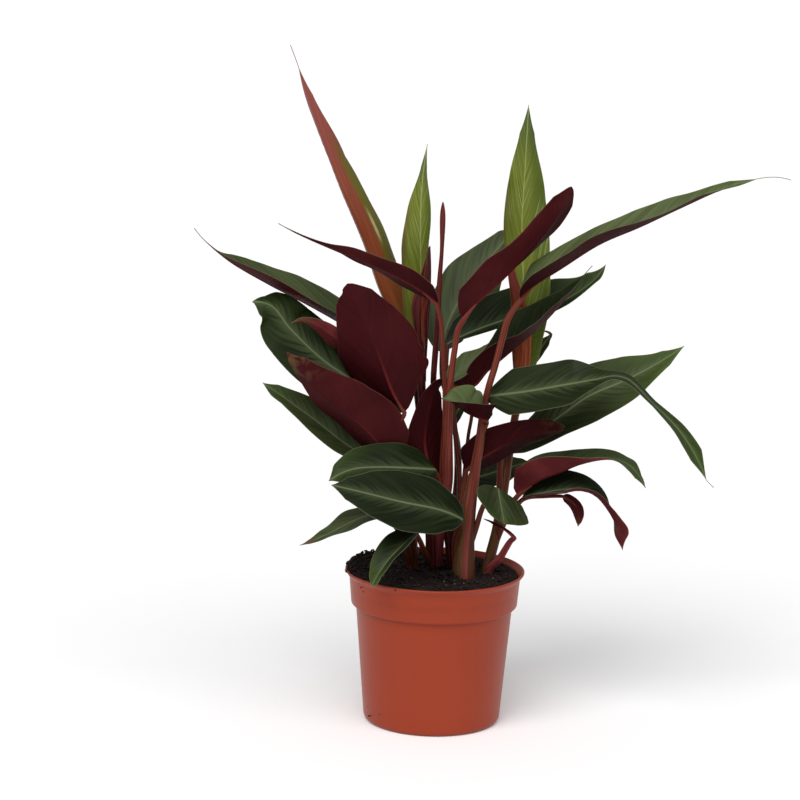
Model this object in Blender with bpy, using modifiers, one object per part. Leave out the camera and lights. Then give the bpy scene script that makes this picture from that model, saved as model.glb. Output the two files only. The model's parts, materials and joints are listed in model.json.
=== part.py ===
"""Potted stripestar calathea: a clump of lance-shaped leaves, green above and maroon below,
on reddish stalks in a 12 cm terracotta-coloured nursery pot.

Metres, +Z up. The origin is the middle of the pot's flat underside. +X is to the right and +Y away
from someone who faces the plant.
"""

import math

import bmesh
import bpy
import numpy as np
from mathutils import Vector, noise

MM = 0.001

# Pot, millimetres
POT_RIM_R = 60.0
POT_H = 103.2
POT_WALL = 1.3
POT_FLOOR = 1.8
COLLAR_TOP_R = 57.0
COLLAR_FOOT_R = 55.6
COLLAR_FOOT_Z = 79.7
BODY_TOP_R = 52.4
BODY_FOOT_R = 45.9
POT_STEPS = 56
DRAIN_HOLES = 6
DRAIN_R = 3.2
DRAIN_RING_R = 34.0

# Soil
SOIL_GAP = 0.35
SOIL_LEVEL = 101.2
SOIL_SLOPE_X = -0.02
SOIL_SLOPE_Y = -0.02
SOIL_ROUGH = 1.3
SOIL_STEPS = 36
HOLE_GAP = 0.35

# Leaves and stalks
BLADE = 0.7
JOINT_GAP = 0.35
WIDTH_STATIONS = (0.1, 0.3, 0.5, 0.7, 0.9)
LEAST_HALF_WIDTH = 0.45
FLAT_BELOW = 7.0
ROLL_BELOW = 13.0
EDGE_WAVE = 0.5
EDGE_WAVES = 2.5
ALONG = 11
ACROSS = 4
ACROSS_ROLLED = 8

UP = (0.0, 0.0, 1.0)

# Each leaf: the midrib from the stalk's top to the tip (mm), the half widths (mm) at the five
# stations, the direction its upper side faces (once, or from base to tip), and how each half
# stands off the flat: (fold, curl) in degrees, left half and right half as seen from above,
# looking from base to tip. A fold tips the whole half up at the rib; a curl bends it further
# towards its edge.
LEAVES = {
    "spear_leaf": dict(
        rib=[(-19, 16, 252), (-38, 20, 283), (-51, 20, 318), (-69, 16, 359), (-85, 12, 400), (-97, 8, 435)],
        widths=(17, 22, 19.5, 11.5, 3.6),
        thread=[(-99.5, 8, 441.5), (-102.5, 8, 449)],
        faces=[(0.55, 0.75, 0.2)],
        left=(20, 110),
        right=(20, 110),
        kind="spear",
    ),
    "young_leaf_left": dict(
        rib=[(-13, 12, 243), (-14, 12, 267), (-14, 12, 293), (-15, 10, 326), (-15, 8, 356), (-12, 5, 387)],
        widths=(9.5, 12.5, 12.8, 8.6, 1.9),
        faces=[(-0.2, -1, 0.2)],
        left=(5, 25),
        right=(10, 190),
        right_tip=(10, 10),
        kind="young",
    ),
    "young_leaf_right": dict(
        rib=[(56, 34, 223), (56, 38, 250), (55, 44, 290), (53, 48, 330), (54, 49, 370), (55, 49, 410)],
        widths=(11, 18, 19, 14.5, 5),
        faces=[(0, -1, 0.2)],
        left=(20, 110),
        left_tip=(15, 10),
        right=(10, 10),
        kind="young",
    ),
    "leaf_maroon_diagonal": dict(
        rib=[(14, -8, 275), (22, -7, 284), (38, -4, 299), (57, 2, 319), (73, 6, 340), (83, 8, 361)],
        widths=(17, 19.5, 15, 13, 10),
        faces=[(-0.4, 0.85, 0.3)],
        left=(80, 0),
        left_tip=(15, 0),
        right=(5, 0),
        blunt=True,
    ),
    "leaf_maroon_long": dict(
        rib=[(-3, -12, 285), (-25, -16, 300), (-57, -20, 315), (-87, -25, 327), (-107, -28, 337)],
        widths=(11.5, 13, 10, 4.3, 1.1),
        faces=[(0, 0.65, 1), (0, 0.45, 1)],
        right=(14, 0),
    ),
    "leaf_long_right": dict(
        rib=[(51, 1, 288), (61, 0, 297), (77, -1, 308), (102, -2, 325), (128, -2, 337), (154, -2, 350),
             (179, -2, 362), (203, -2, 370)],
        widths=(18, 17, 14, 9, 4.5),
        thread=[(211, -2, 371.3), (218, -2, 371.2), (225, -2, 369.8)],
        faces=[(0, 0, 1), (0, -0.1, 1), (0, -0.5, 1), (0, -0.6, 0.8)],
        left=(39, 0),
        left_tip=(10, 0),
        right=(26, 0),
        right_tip=(56, 0),
    ),
    "leaf_back_sheen": dict(
        rib=[(1, 53, 241), (6, 62, 261), (18, 74, 282), (32, 84, 300), (52, 91, 323)],
        widths=(13, 19, 21, 15, 8),
        faces=[(-0.3, -0.8, 0.5)],
        left=(5, 0),
        right=(-30, 0),
    ),
    "leaf_back_dark": dict(
        rib=[(5, 43, 248), (20, 50, 255), (42, 60, 262), (65, 68, 268), (84, 72, 275), (102, 74, 287),
             (112, 75, 300)],
        widths=(13, 21, 22, 17, 7),
        faces=[(-0.1, -0.6, 0.9)],
        left=(25, 0),
        right=(20, 30),
    ),
    "leaf_folded_right": dict(
        rib=[(7, 12, 227), (22, 14, 225), (32, 15, 236), (48, 17, 250), (67, 19, 267), (80, 20, 282),
             (96, 22, 303)],
        widths=(10, 15, 20, 13, 4),
        thread=[(99.5, 22, 307)],
        faces=[(-0.2, 0.55, 1), (-0.2, 0.3, 1), (-0.2, -0.3, 1), (-0.2, -0.2, 1), (-0.2, -0.1, 1)],
        left=(42, 0),
        left_tip=(75, 0),
        right=(58, 0),
        right_tip=(30, 0),
    ),
    "leaf_small_sheen": dict(
        rib=[(7, 27, 224.8), (14, 31, 231.6), (23, 34, 239.6), (33, 38, 250.6)],
        widths=(7, 10, 10, 6, 2),
        faces=[(-0.4, -0.7, 0.5)],
    ),
    "leaf_long_left": dict(
        rib=[(-52, 16, 257), (-69, 11, 268), (-93, 4, 282), (-113, -2, 293), (-139, -10, 309),
             (-158, -16, 326)],
        widths=(19, 20.5, 18.5, 12.5, 3),
        thread=[(-162, -16, 331)],
        faces=[UP],
        left=(8, 0),
        left_tip=(24, 0),
        right=(50, 0),
        right_tip=(28, 0),
    ),
    "leaf_left_green": dict(
        rib=[(-29, 0, 214), (-51, -2, 227), (-76, -4, 243), (-99, -8, 265), (-111, -11, 280),
             (-124, -12, 283)],
        widths=(15, 20, 21.5, 20, 13),
        faces=[(-0.3, -0.8, 0.5)],
        right_tip=(-38, 0),
    ),
    "leaf_left_small": dict(
        rib=[(-41, -8, 241), (-63, -9.5, 255), (-79, -12.5, 267), (-89, -14.5, 272), (-98, -15.5, 270)],
        widths=(8, 8.5, 8, 6, 3),
        faces=[(-0.2, 0.7, 0.8)],
    ),
    "leaf_maroon_large": dict(
        rib=[(-23, -14, 212), (-31, -17, 226), (-37, -20, 242), (-45, -22, 263), (-53, -20, 279),
             (-62, -16, 297)],
        widths=(14, 27, 28, 22, 13),
        faces=[(-0.2, 1, 0.2)],
        left=(5, 0),
        right=(50, 0),
        right_tip=(10, 0),
        blunt=True,
    ),
    "leaf_maroon_low": dict(
        rib=[(-28, -9, 177.8), (-38, -13.5, 189.7), (-52, -20, 205), (-64, -24, 214), (-75, -27, 224),
             (-88, -28, 238), (-100, -28, 253)],
        widths=(20, 25, 24, 17, 8),
        faces=[(-0.2, 0.95, 0.4)],
        left=(3, 0),
        right=(50, 0),
    ),
    "leaf_left_low": dict(
        rib=[(-42, 6, 174), (-62, 5, 186), (-80, 4, 200), (-99, 2, 214), (-117, 0, 227)],
        widths=(11, 14, 14, 10, 5),
        faces=[(-0.3, -0.8, 0.5)],
        left=(50, 0),
        right=(5, 0),
    ),
    "leaf_maroon_upright": dict(
        rib=[(-1, 0, 164), (-9, -2, 187), (-7, -2, 208), (-2, 2, 226), (4, 12, 227)],
        widths=(11, 13, 12, 9, 4),
        faces=[(-0.5, 0.85, 0.3)],
    ),
    "leaf_bent_centre": dict(
        rib=[(32, -10, 206.9), (28, -19, 209.9), (17, -22, 215), (8, -21, 221), (1, -19, 223)],
        widths=(11, 15, 17, 17, 9),
        faces=[UP],
        left=(72, 0),
        left_tip=(5, 0),
        right=(70, 0),
        right_tip=(60, 0),
    ),
    "leaf_front_upper": dict(
        rib=[(-1, -10, 173.2), (-18, -24, 177), (-41, -33, 179), (-57, -38, 178), (-71, -42, 171)],
        widths=(15, 18, 18, 15, 8),
        faces=[(0, -0.75, 0.7)],
        left=(-30, 0),
        right=(5, 0),
    ),
    "leaf_front_lower": dict(
        rib=[(17.4, -22, 142.2), (2, -32, 151), (-24, -45, 159), (-50, -54, 167), (-69, -58, 172)],
        widths=(12, 20, 21, 17, 8),
        faces=[(0.1, -0.9, 0.6)],
    ),
    "leaf_over_rim": dict(
        rib=[(-13, -34, 136), (-22, -46, 130), (-32, -56, 121), (-42, -60, 105)],
        widths=(11, 13, 12.5, 10, 5),
        faces=[(-0.3, -0.8, 0.5)],
        left=(50, 0),
        right=(5, 0),
    ),
    "leaf_thin_left": dict(
        rib=[(-37, -30, 149), (-54, -34, 143), (-73, -40, 134), (-89, -44, 128)],
        widths=(12, 13.5, 11, 7, 2.5),
        faces=[(0, -0.2, 1)],
    ),
    "leaf_hanging_tip": dict(
        rib=[(31, -3, 222), (57, -14, 228), (78, -23, 234), (99, -32, 240), (113, -38, 244),
             (122, -42, 242), (135, -45, 230), (157, -46, 208), (174, -44, 178)],
        widths=(17, 17.5, 6, 4.8, 6.2),
        thread=[(176.4, -44, 175.5), (179, -44, 173)],
        faces=[(0, -0.8, 0.6), (0, -0.8, 0.6), (0, -0.8, 0.65), (0.1, -0.3, 0.9), (0.8, -0.25, 0.5),
               (0.75, -0.65, 0.35), (0.6, -0.8, 0.3)],
        along=15,
    ),
    "leaf_right_back": dict(
        rib=[(42, 18, 181), (62, 18, 191), (81, 15, 206), (100, 12, 221), (124, 9, 233), (146, 8, 246),
             (161, 7, 257)],
        widths=(9, 14.5, 20.5, 16.5, 6),
        faces=[(-0.2, -0.8, 0.6)],
    ),
    "leaf_maroon_right": dict(
        rib=[(19, 6, 170), (35, 2, 183), (51, -3, 193), (68, -6, 199), (83, -8, 204)],
        widths=(14, 16, 14, 11, 7),
        faces=[(-0.1, 0.95, 0.2)],
        left=(35, 0),
        right=(8, 0),
        blunt=True,
    ),
    "leaf_twisted_right": dict(
        rib=[(53, 0, 156), (60, -3, 161), (70, -6, 168), (82, -10, 174), (94, -13, 180), (110, -15, 184),
             (121, -17, 183), (129, -18, 178), (137, -19, 166)],
        widths=(16, 17, 13.5, 9.5, 5),
        faces=[UP, UP, (0, -0.1, 1), (0.3, -0.4, 0.7)],
        left=(76, 0),
        left_tip=(-10, 0),
        right=(82, 0),
        right_tip=(-10, 0),
        along=13,
    ),
    "leaf_drooping_right": dict(
        rib=[(57, 2, 153), (72, 0, 157), (85, -3, 160), (96, -6, 161), (106, -8, 157), (114, -10, 148),
             (120, -11, 137), (124, -12, 122)],
        widths=(10, 15, 11, 5.5, 5),
        faces=[(0, -0.3, 1), (0, -0.4, 0.9), (0.6, 0.1, 0.6), (0.5, 0.8, 0.1)],
        left=(30, 0),
        right=(5, 50),
        along=13,
    ),
    "leaf_small_hanging": dict(
        rib=[(84, 8, 153), (91, 8, 149), (95, 7, 143), (95, 6, 133)],
        widths=(3, 3.6, 4, 3.5, 1.8),
        faces=[(0, 1, -0.2)],
        along=7,
    ),
    "leaf_front_round": dict(
        rib=[(40, -14, 162.5), (42, -27, 153), (44, -38, 144)],
        widths=(12.5, 19.5, 22.5, 20.5, 13.5),
        faces=[(0.62, -0.38, 0.68)],
        left=(4, 0),
        right=(4, 0),
        blunt=True,
        along=9,
    ),
    "leaf_narrow_dark": dict(
        rib=[(53, -12, 129), (42, -16, 137), (31, -20, 143)],
        widths=(1.5, 2.5, 3.5, 3.5, 2),
        faces=[(0, 0.3, 1)],
        along=7,
    ),
    "leaf_small_back": dict(
        rib=[(63, 46, 235), (67, 48, 243), (72, 50, 251), (75, 51, 255), (72, 51, 257), (68, 51, 257)],
        widths=(2.5, 3.6, 3.8, 1.5, 0.6),
        faces=[(-0.3, -0.8, 0.4)],
        along=9,
    ),
    "leaf_back_low": dict(
        rib=[(23, 42, 155), (40, 42, 161), (63, 45, 168)],
        widths=(9, 11, 11, 8, 4),
        faces=[(0, -0.8, 0.6)],
        along=9,
    ),
    "leaf_small_centre": dict(
        rib=[(19, 14, 214), (14, 16, 210), (10, 17, 201), (9, 17, 193)],
        widths=(2.5, 4.5, 4.5, 3.5, 1.5),
        faces=[(-0.3, -0.8, 0.5)],
        along=7,
    ),
}

# Each shoot: its foot in the soil (x, y, radius) and its stalks. A stalk is the points up from the
# foot as (x, y, z, radius); the leaf it carries gives its last point. None ends at its own last point.
SHOOTS = {
    "shoot_left": dict(
        foot=(-15, 13, 6.5),
        stalks=[
            ("leaf_maroon_large", 1.6, [(-14, 13, 88, 2.4), (-14, 13, 101, 2.4), (-17, 2, 136, 2.2),
                                        (-23, -4, 164, 2), (-27, -9, 189, 1.8), (-26, -13, 204, 1.6)]),
            ("leaf_maroon_low", 1.8, [(-15, 12, 88, 2.4), (-15, 12, 101, 2.4), (-19, 2, 136, 2.2),
                                      (-24, -4, 161, 2)]),
            ("leaf_left_low", 1.8, [(-17, 11, 88, 2.2), (-17, 10, 101, 2.2), (-23, 2, 132, 2),
                                    (-31, -1, 157, 1.8)]),
            ("leaf_left_green", 1.8, [(-15, 15, 88, 2.2), (-15, 15, 101, 2.2), (-17, 8, 134, 2),
                                      (-24, 3, 169, 1.8), (-29, 0, 197, 1.8)]),
            ("leaf_long_left", 1.6, [(-13, 16, 88, 2.2), (-13, 16, 101, 2.2), (-16, 12, 133, 2),
                                     (-24, 12, 174, 1.8), (-31, 16, 207, 1.8), (-41, 20, 230, 1.6)]),
            ("leaf_left_small", 1.4, [(-13, 12, 88, 2.2), (-13, 11, 101, 2.2), (-19, 3, 142, 2),
                                      (-27, -2, 184, 1.8), (-34, -5, 222, 1.6)]),
            ("leaf_thin_left", 1.5, [(-15, 12, 88, 2.2), (-15, 11, 101, 2.2), (-23, -12, 129, 1.9)]),
        ],
    ),
    "shoot_centre": dict(
        foot=(-0.6, 15, 7.0),
        stalks=[
            ("leaf_maroon_diagonal", 1.8, [(1, 18, 86, 3.5), (1, 17, 101, 3.5), (2, 10, 127, 3.7),
                                           (4, 4, 146, 4), (6, 0, 164, 4), (6, -3, 182, 3.7),
                                           (6, -5, 199, 3.2), (6, -6, 218, 2.8), (7, -7, 234, 2.2),
                                           (9, -8, 253, 2), (11, -8, 267, 2)]),
            ("leaf_maroon_long", 1.5, [(5, -3, 185, 2.5), (4, -6, 216, 2), (3, -7, 234, 1.5),
                                       (1, -10, 257, 1.5), (0, -11, 270, 1.5)]),
            ("leaf_front_upper", 1.8, [(3, 4, 146, 2.2), (2.5, -2, 160, 2)]),
            ("leaf_maroon_upright", 2.0, [(-2, 15, 86, 2.2), (-2, 15, 101, 2.2), (-1, 8, 128, 2)]),
            ("spear_leaf", 1.8, [(-4, 14, 86, 2.4), (-4, 13, 101, 2.4), (-5, 10, 127, 2.2), (-9, 10, 161, 2),
                                 (-12, 12, 195, 1.8), (-16, 14, 225, 1.8)]),
            ("young_leaf_left", 2.6, [(-2, 13, 86, 2.4), (-2, 12, 101, 2.4), (-3, 9, 127, 2.2),
                                      (-7, 8, 162, 2), (-10, 9, 196, 2.2), (-12, 11, 226, 2.8)]),
            ("leaf_over_rim", 1.6, [(-3, 12, 86, 2.2), (-3, 12, 101, 2.2), (-8, -12, 119, 1.9)]),
        ],
    ),
    "shoot_back": dict(
        foot=(13.6, 16.5, 6.3),
        stalks=[
            ("rolled_leaf", 1.6, [(10, 16, 86, 2), (10, 16, 101, 2), (7, 16, 126, 2), (2, 14, 161, 2),
                                  (-1, 14, 195, 2), (-4, 11, 226, 2), (-4, 8, 237, 2), (-3, 5, 257, 2)]),
            ("leaf_back_sheen", 1.5, [(13, 18, 86, 2), (13, 17, 101, 2), (14, 14, 133, 2), (15, 17, 162, 1.6),
                                      (14, 22, 183, 1.4), (10, 28, 199, 1.4), (6, 36, 211, 1.4),
                                      (2, 46, 224, 1.4)]),
            ("leaf_back_dark", 1.5, [(12, 20, 86, 2), (11, 20, 101, 2), (11, 18, 132, 2), (13, 20, 161, 1.6),
                                     (12, 24, 186, 1.5), (9, 30, 202, 1.5), (5, 39, 226, 1.5)]),
            ("leaf_folded_right", 1.7, [(15, 13, 86, 2.2), (15, 13, 101, 2.2), (16, 9, 131, 2),
                                        (15, 10, 163, 1.7), (12, 10, 189, 1.7), (9, 11, 213, 1.7)]),
            ("leaf_small_centre", 1.1, [(16, 15, 86, 2), (16, 14, 101, 2), (17, 12, 134, 2),
                                        (18, 11, 163, 1.4), (20, 10, 192, 1.2), (22, 11, 208, 1.2)]),
            ("leaf_back_low", 1.6, [(17, 19, 86, 2), (17, 19, 101, 2), (19, 28, 123, 1.8)]),
            ("leaf_small_sheen", 1.4, [(13, 18, 150, 1.6), (13, 19, 165, 1.6), (13, 21, 184, 1.5),
                                       (9, 24, 210, 1.4)]),
        ],
    ),
    "shoot_front": dict(
        foot=(19, -10.5, 7.5),
        stalks=[
            ("leaf_long_right", 1.7, [(19, -10, 86, 7), (19, -11, 101, 7), (19, -8, 122, 6),
                                      (21, -6, 142, 4.4), (24, -6, 167, 3.6), (27, -7, 193, 2.7),
                                      (29, -8, 214, 2.2), (32, -9, 229, 2.2), (36, -9, 244, 2.2),
                                      (40, -7, 261, 2.2), (44, -4, 275, 2.2)]),
            ("leaf_front_lower", 1.9, [(14, -10, 108, 2.4), (12.5, -13, 125, 2.1)]),
            ("leaf_bent_centre", 1.2, [(24, -6, 167, 2.4), (25.5, -7, 184, 1.6), (29, -7.5, 197, 1.4)]),
            ("leaf_hanging_tip", 2.0, [(25, -6, 174, 2.4), (28, -7, 190, 2.2), (29, -7, 207, 2.1)]),
            ("leaf_maroon_right", 1.8, [(19, -5, 125, 3), (18, 0, 147, 2.2)]),
            ("leaf_front_round", 1.6, [(20, -9, 115, 2.5), (26, -7, 132, 2), (31, -8, 149, 1.7)]),
        ],
    ),
    "shoot_right": dict(
        foot=(35.5, 4.5, 5.3),
        stalks=[
            ("young_leaf_right", 2.6, [(35, 5, 86, 3.5), (35, 6, 101, 3.5), (41, 12, 128, 3.5),
                                       (45, 20, 154, 3.3), (48, 28, 175, 3), (52, 33, 203, 2.6)]),
            ("leaf_right_back", 1.8, [(41, 11, 126, 3), (42, 15, 155, 2.2)]),
            ("leaf_twisted_right", 1.8, [(41, 10, 124, 2.4), (47, 4, 143, 2)]),
            ("leaf_drooping_right", 1.6, [(41, 10, 122, 2.4), (49, 6, 141, 2)]),
            ("leaf_small_hanging", 1.2, [(41, 12, 124, 2.4), (50, 9, 141, 1.6), (59, 10, 150, 1.3),
                                         (73, 10, 152, 1.2)]),
            ("leaf_narrow_dark", 1.2, [(36, 3, 86, 2.6), (36, 3, 101, 2.6), (43, -3, 112, 2.4),
                                       (50, -9, 126, 1.9)]),
            ("leaf_small_back", 1.3, [(45, 20, 150, 2), (48, 30, 179, 1.5), (56, 39, 212, 1.5)]),
        ],
    ),
}

# The leaf that is still rolled into a thin spike: (x, y, z, radius) up to its tip.
ROLLED_LEAF = [(-2.4, 2.6, 275, 1.8), (-2, 0, 298, 1.6), (-1, 0, 318, 1.3), (-1, -1, 341, 1.8), (-1, -2, 350, 0.4)]

COLOURS = {
    "pot": ((0.36, 0.062, 0.026, 1), 0.42),
    "soil": ((0.012, 0.008, 0.006, 1), 0.95),
    "stalk": ((0.30, 0.060, 0.030, 1), 0.45),
    "leaf_upper": ((0.030, 0.075, 0.028, 1), 0.40),
    "leaf_lower": ((0.085, 0.012, 0.016, 1), 0.45),
    "young_upper": ((0.22, 0.28, 0.035, 1), 0.35),
    "young_lower": ((0.22, 0.030, 0.020, 1), 0.40),
    "spear_upper": ((0.45, 0.40, 0.16, 1), 0.35),
    "spear_lower": ((0.42, 0.070, 0.022, 1), 0.38),
}


def clear_scene():
    for obj in list(bpy.data.objects):
        bpy.data.objects.remove(obj, do_unlink=True)


def new_collection(name, hidden=False):
    made = bpy.data.collections.new(name)
    bpy.context.scene.collection.children.link(made)
    made.hide_render = hidden
    return made


def material(name):
    made = bpy.data.materials.get(name)
    if made:
        return made
    colour, roughness = COLOURS[name]
    made = bpy.data.materials.new(name)
    made.use_nodes = True
    shader = made.node_tree.nodes["Principled BSDF"]
    shader.inputs["Base Color"].default_value = colour
    shader.inputs["Roughness"].default_value = roughness
    shader.inputs["Metallic"].default_value = 0.0
    made.diffuse_color = colour
    return made


def add_object(name, data, collection, *materials):
    obj = bpy.data.objects.new(name, data)
    collection.objects.link(obj)
    for each in materials:
        data.materials.append(material(each))
    return obj


def as_cutter(obj):
    obj.hide_render = True
    obj.display_type = "WIRE"


def smooth_curve(points, count):
    """Points at equal steps along a rounded curve through the control points; any columns past the
    third, such as a radius, follow along."""
    p = np.asarray(points, float)
    knots = np.concatenate([[0], np.cumsum(np.linalg.norm(np.diff(p[:, :3], axis=0), axis=1))])
    slope = np.empty_like(p)
    slope[1:-1] = (p[2:] - p[:-2]) / (knots[2:] - knots[:-2])[:, None]
    slope[0] = (p[1] - p[0]) / knots[1]
    slope[-1] = (p[-1] - p[-2]) / (knots[-1] - knots[-2])
    if len(p) > 2:
        slope[0] = 2 * slope[0] - slope[1]
        slope[-1] = 2 * slope[-1] - slope[-2]
    at = np.linspace(0, knots[-1], 400)
    i = np.clip(np.searchsorted(knots, at, side="right") - 1, 0, len(p) - 2)
    span = (knots[i + 1] - knots[i])[:, None]
    x = (at - knots[i])[:, None] / span
    fine = (
        (2 * x**3 - 3 * x**2 + 1) * p[i]
        + (x**3 - 2 * x**2 + x) * span * slope[i]
        + (3 * x**2 - 2 * x**3) * p[i + 1]
        + (x**3 - x**2) * span * slope[i + 1]
    )
    length = np.concatenate([[0], np.cumsum(np.linalg.norm(np.diff(fine[:, :3], axis=0), axis=1))])
    steps = np.linspace(0, length[-1], count)
    return np.stack([np.interp(steps, length, fine[:, column]) for column in range(p.shape[1])], axis=1)


def unit(rows):
    return rows / np.linalg.norm(rows, axis=-1, keepdims=True)


def half_widths(u, widths, blunt):
    """The blade's half width at each u: a rounded curve through the five stations, closing like a
    spoon at the stalk and to a point, or roundly, at the tip."""
    knots = np.array((0.0,) + WIDTH_STATIONS + (1.0,))
    values = np.array((widths[0] * 0.82,) + tuple(widths) + (widths[-1] * 0.72,))
    rise = np.diff(values) / np.diff(knots)
    slope = np.zeros(len(knots))
    slope[0], slope[-1] = rise[0], rise[-1]
    for k in range(1, len(knots) - 1):
        if rise[k - 1] * rise[k] > 0:
            slope[k] = 2 / (1 / rise[k - 1] + 1 / rise[k])
    i = np.clip(np.searchsorted(knots, u, side="right") - 1, 0, len(knots) - 2)
    span = knots[i + 1] - knots[i]
    x = (u - knots[i]) / span
    curve = (
        (2 * x**3 - 3 * x**2 + 1) * values[i]
        + (x**3 - 2 * x**2 + x) * span * slope[i]
        + (3 * x**2 - 2 * x**3) * values[i + 1]
        + (x**3 - x**2) * span * slope[i + 1]
    )
    root = np.clip(u / 0.1, 0, 1) ** 0.5
    tip = np.clip((1 - u) / 0.1, 0, 1) ** (0.55 if blunt else 1.0)
    return np.maximum(curve * root * tip, LEAST_HALF_WIDTH)


def half_section(across, fold, curl):
    """(out, up) of a point on a half of unit width, for a fold at the rib and a curl to the edge."""
    if abs(curl) < 1e-3:
        return across * math.cos(fold), across * math.sin(fold)
    out = (math.sin(fold + curl * across) - math.sin(fold)) / curl
    up = (math.cos(fold) - math.cos(fold + curl * across)) / curl
    return out, up


def stalk_line(leaf_name, top_radius, points):
    """A stalk's control points with its leaf's joint as the last one."""
    joint = ROLLED_LEAF[0][:3] if leaf_name == "rolled_leaf" else LEAVES[leaf_name]["rib"][0]
    gap = (0, 0, JOINT_GAP) if leaf_name == "rolled_leaf" else (0, 0, 0)
    end = tuple(a - b for a, b in zip(joint, gap)) + (top_radius,)
    return points + [end]


def blade_start(name):
    """The first point of a blade's rib, clear of the end of its stalk."""
    rib = LEAVES[name]["rib"]
    for shoot in SHOOTS.values():
        for leaf_name, top_radius, points in shoot["stalks"]:
            if leaf_name == name:
                line = np.array(stalk_line(leaf_name, top_radius, points))[:, :3]
                came = unit(line[-1] - line[-2])
                goes = unit(np.subtract(rib[1], rib[0]).astype(float))
                ahead = float(came @ goes)
                aside = math.sqrt(max(0.0, 1 - ahead**2)) if ahead > 0 else 1.0
                return np.array(rib[0]) + goes * (JOINT_GAP + top_radius * aside)
    return np.array(rib[0], float)


def blade_points(name, along, across):
    """The lofted middle surface of a blade as rows of points (mm), each from one margin to the other.
    Rows past the tip follow the thin dry thread that the tip ends in, on leaves that have one."""
    spec = LEAVES[name]
    rib = [tuple(blade_start(name))] + spec["rib"][1:]
    thread = spec.get("thread", [])
    centre = np.vstack([smooth_curve(rib, along + 1)] + [thread] * bool(thread))
    u = np.concatenate([np.linspace(0, 1, along + 1), np.ones(len(thread))])
    forward = unit(np.gradient(centre, axis=0))
    faces = np.array(spec["faces"] * 2 if len(spec["faces"]) == 1 else spec["faces"], float)
    stations = np.linspace(0, 1, len(faces))
    facing = np.stack([np.interp(u, stations, faces[:, axis]) for axis in range(3)], axis=1)
    above = unit(facing - np.sum(facing * forward, axis=1, keepdims=True) * forward)
    rightward = np.cross(forward, above)
    width = half_widths(u, spec["widths"], spec.get("blunt", False))
    grid = np.empty((len(centre), across + 1, 3))
    for i in range(len(centre)):
        for j in range(across + 1):
            v = 1 - 2 * j / across
            side = "right" if v >= 0 else "left"
            start = spec.get(side, (8, 0))
            end = spec.get(side + "_tip", start)
            flatten = min(1, width[i] / (ROLL_BELOW if spec.get("kind") else FLAT_BELOW))
            fold = math.radians(start[0] + (end[0] - start[0]) * u[i]) * flatten
            curl = math.radians(start[1] + (end[1] - start[1]) * u[i]) * flatten
            out, up = half_section(abs(v), fold, curl)
            wave = EDGE_WAVE * v * v * math.sin(2 * math.pi * EDGE_WAVES * u[i] + 2 * v)
            wave *= min(1, width[i] / 8)
            shift = rightward[i] * out * width[i] * np.sign(v) + above[i] * (up * width[i] + wave)
            grid[i, j] = centre[i] + shift
    return grid


def make_blade(name, collection):
    """A leaf blade: a flat grid drawn over the lofted surface, split into triangles, then thickened."""
    spec = LEAVES[name]
    across = ACROSS_ROLLED if spec.get("kind") else ACROSS
    points = blade_points(name, spec.get("along", ALONG), across)
    along = len(points) - 1
    mesh = bpy.data.meshes.new(name)
    shape = bmesh.new()
    bmesh.ops.create_grid(shape, x_segments=along, y_segments=across, size=0.5)
    for vertex in shape.verts:
        i = round((vertex.co.x + 0.5) * along)
        j = round((vertex.co.y + 0.5) * across)
        vertex.co = Vector(points[i, j] * MM)
    bmesh.ops.triangulate(shape, faces=shape.faces[:])
    shape.to_mesh(mesh)
    shape.free()
    kind = spec.get("kind", "leaf")
    obj = add_object(name, mesh, collection, kind + "_upper", kind + "_lower")
    thicken = obj.modifiers.new("Blade", "SOLIDIFY")
    thicken.thickness = BLADE * MM
    thicken.offset = 0.0
    thicken.material_offset = 1
    mesh.shade_smooth()
    return obj


def make_tube(name, line, collection, sides=2):
    """A tapering stalk as a bevelled curve, turned into a closed mesh."""
    points = smooth_curve(line, max(5, len(line) + 2))
    curve = bpy.data.curves.new(name, "CURVE")
    curve.dimensions = "3D"
    curve.bevel_depth = MM
    curve.bevel_resolution = sides
    curve.use_fill_caps = True
    spline = curve.splines.new("POLY")
    spline.points.add(len(points) - 1)
    for point, (x, y, z, radius) in zip(spline.points, points):
        point.co = (x * MM, y * MM, z * MM, 1)
        point.radius = radius
    drawn = bpy.data.objects.new(name + "_curve", curve)
    collection.objects.link(drawn)
    bpy.context.view_layer.update()
    graph = bpy.context.evaluated_depsgraph_get()
    mesh = bpy.data.meshes.new_from_object(drawn.evaluated_get(graph))
    place = drawn.matrix_world.copy()
    bpy.data.objects.remove(drawn, do_unlink=True)
    shape = bmesh.new()
    shape.from_mesh(mesh)
    bmesh.ops.remove_doubles(shape, verts=shape.verts[:], dist=1e-6)
    bmesh.ops.recalc_face_normals(shape, faces=shape.faces[:])
    shape.to_mesh(mesh)
    shape.free()
    mesh.shade_smooth()
    mesh.materials.clear()
    obj = add_object(name, mesh, collection, "stalk")
    obj.matrix_world = place
    return obj


def make_foot(name, foot, top_z, depth, collection, grow=0.0, sides=20):
    """A plain upright cylinder: a shoot's foot, or the hole that it stands in."""
    x, y, radius = foot
    mesh = bpy.data.meshes.new(name)
    shape = bmesh.new()
    bmesh.ops.create_cone(
        shape,
        cap_ends=True,
        segments=sides,
        radius1=(radius + grow) * MM,
        radius2=(radius + grow) * MM,
        depth=depth * MM,
    )
    shape.to_mesh(mesh)
    shape.free()
    mesh.shade_smooth()
    mesh.set_sharp_from_angle(angle=math.radians(40))
    obj = add_object(name, mesh, collection, "stalk")
    obj.location = (x * MM, y * MM, (top_z - depth / 2) * MM)
    return obj


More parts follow.
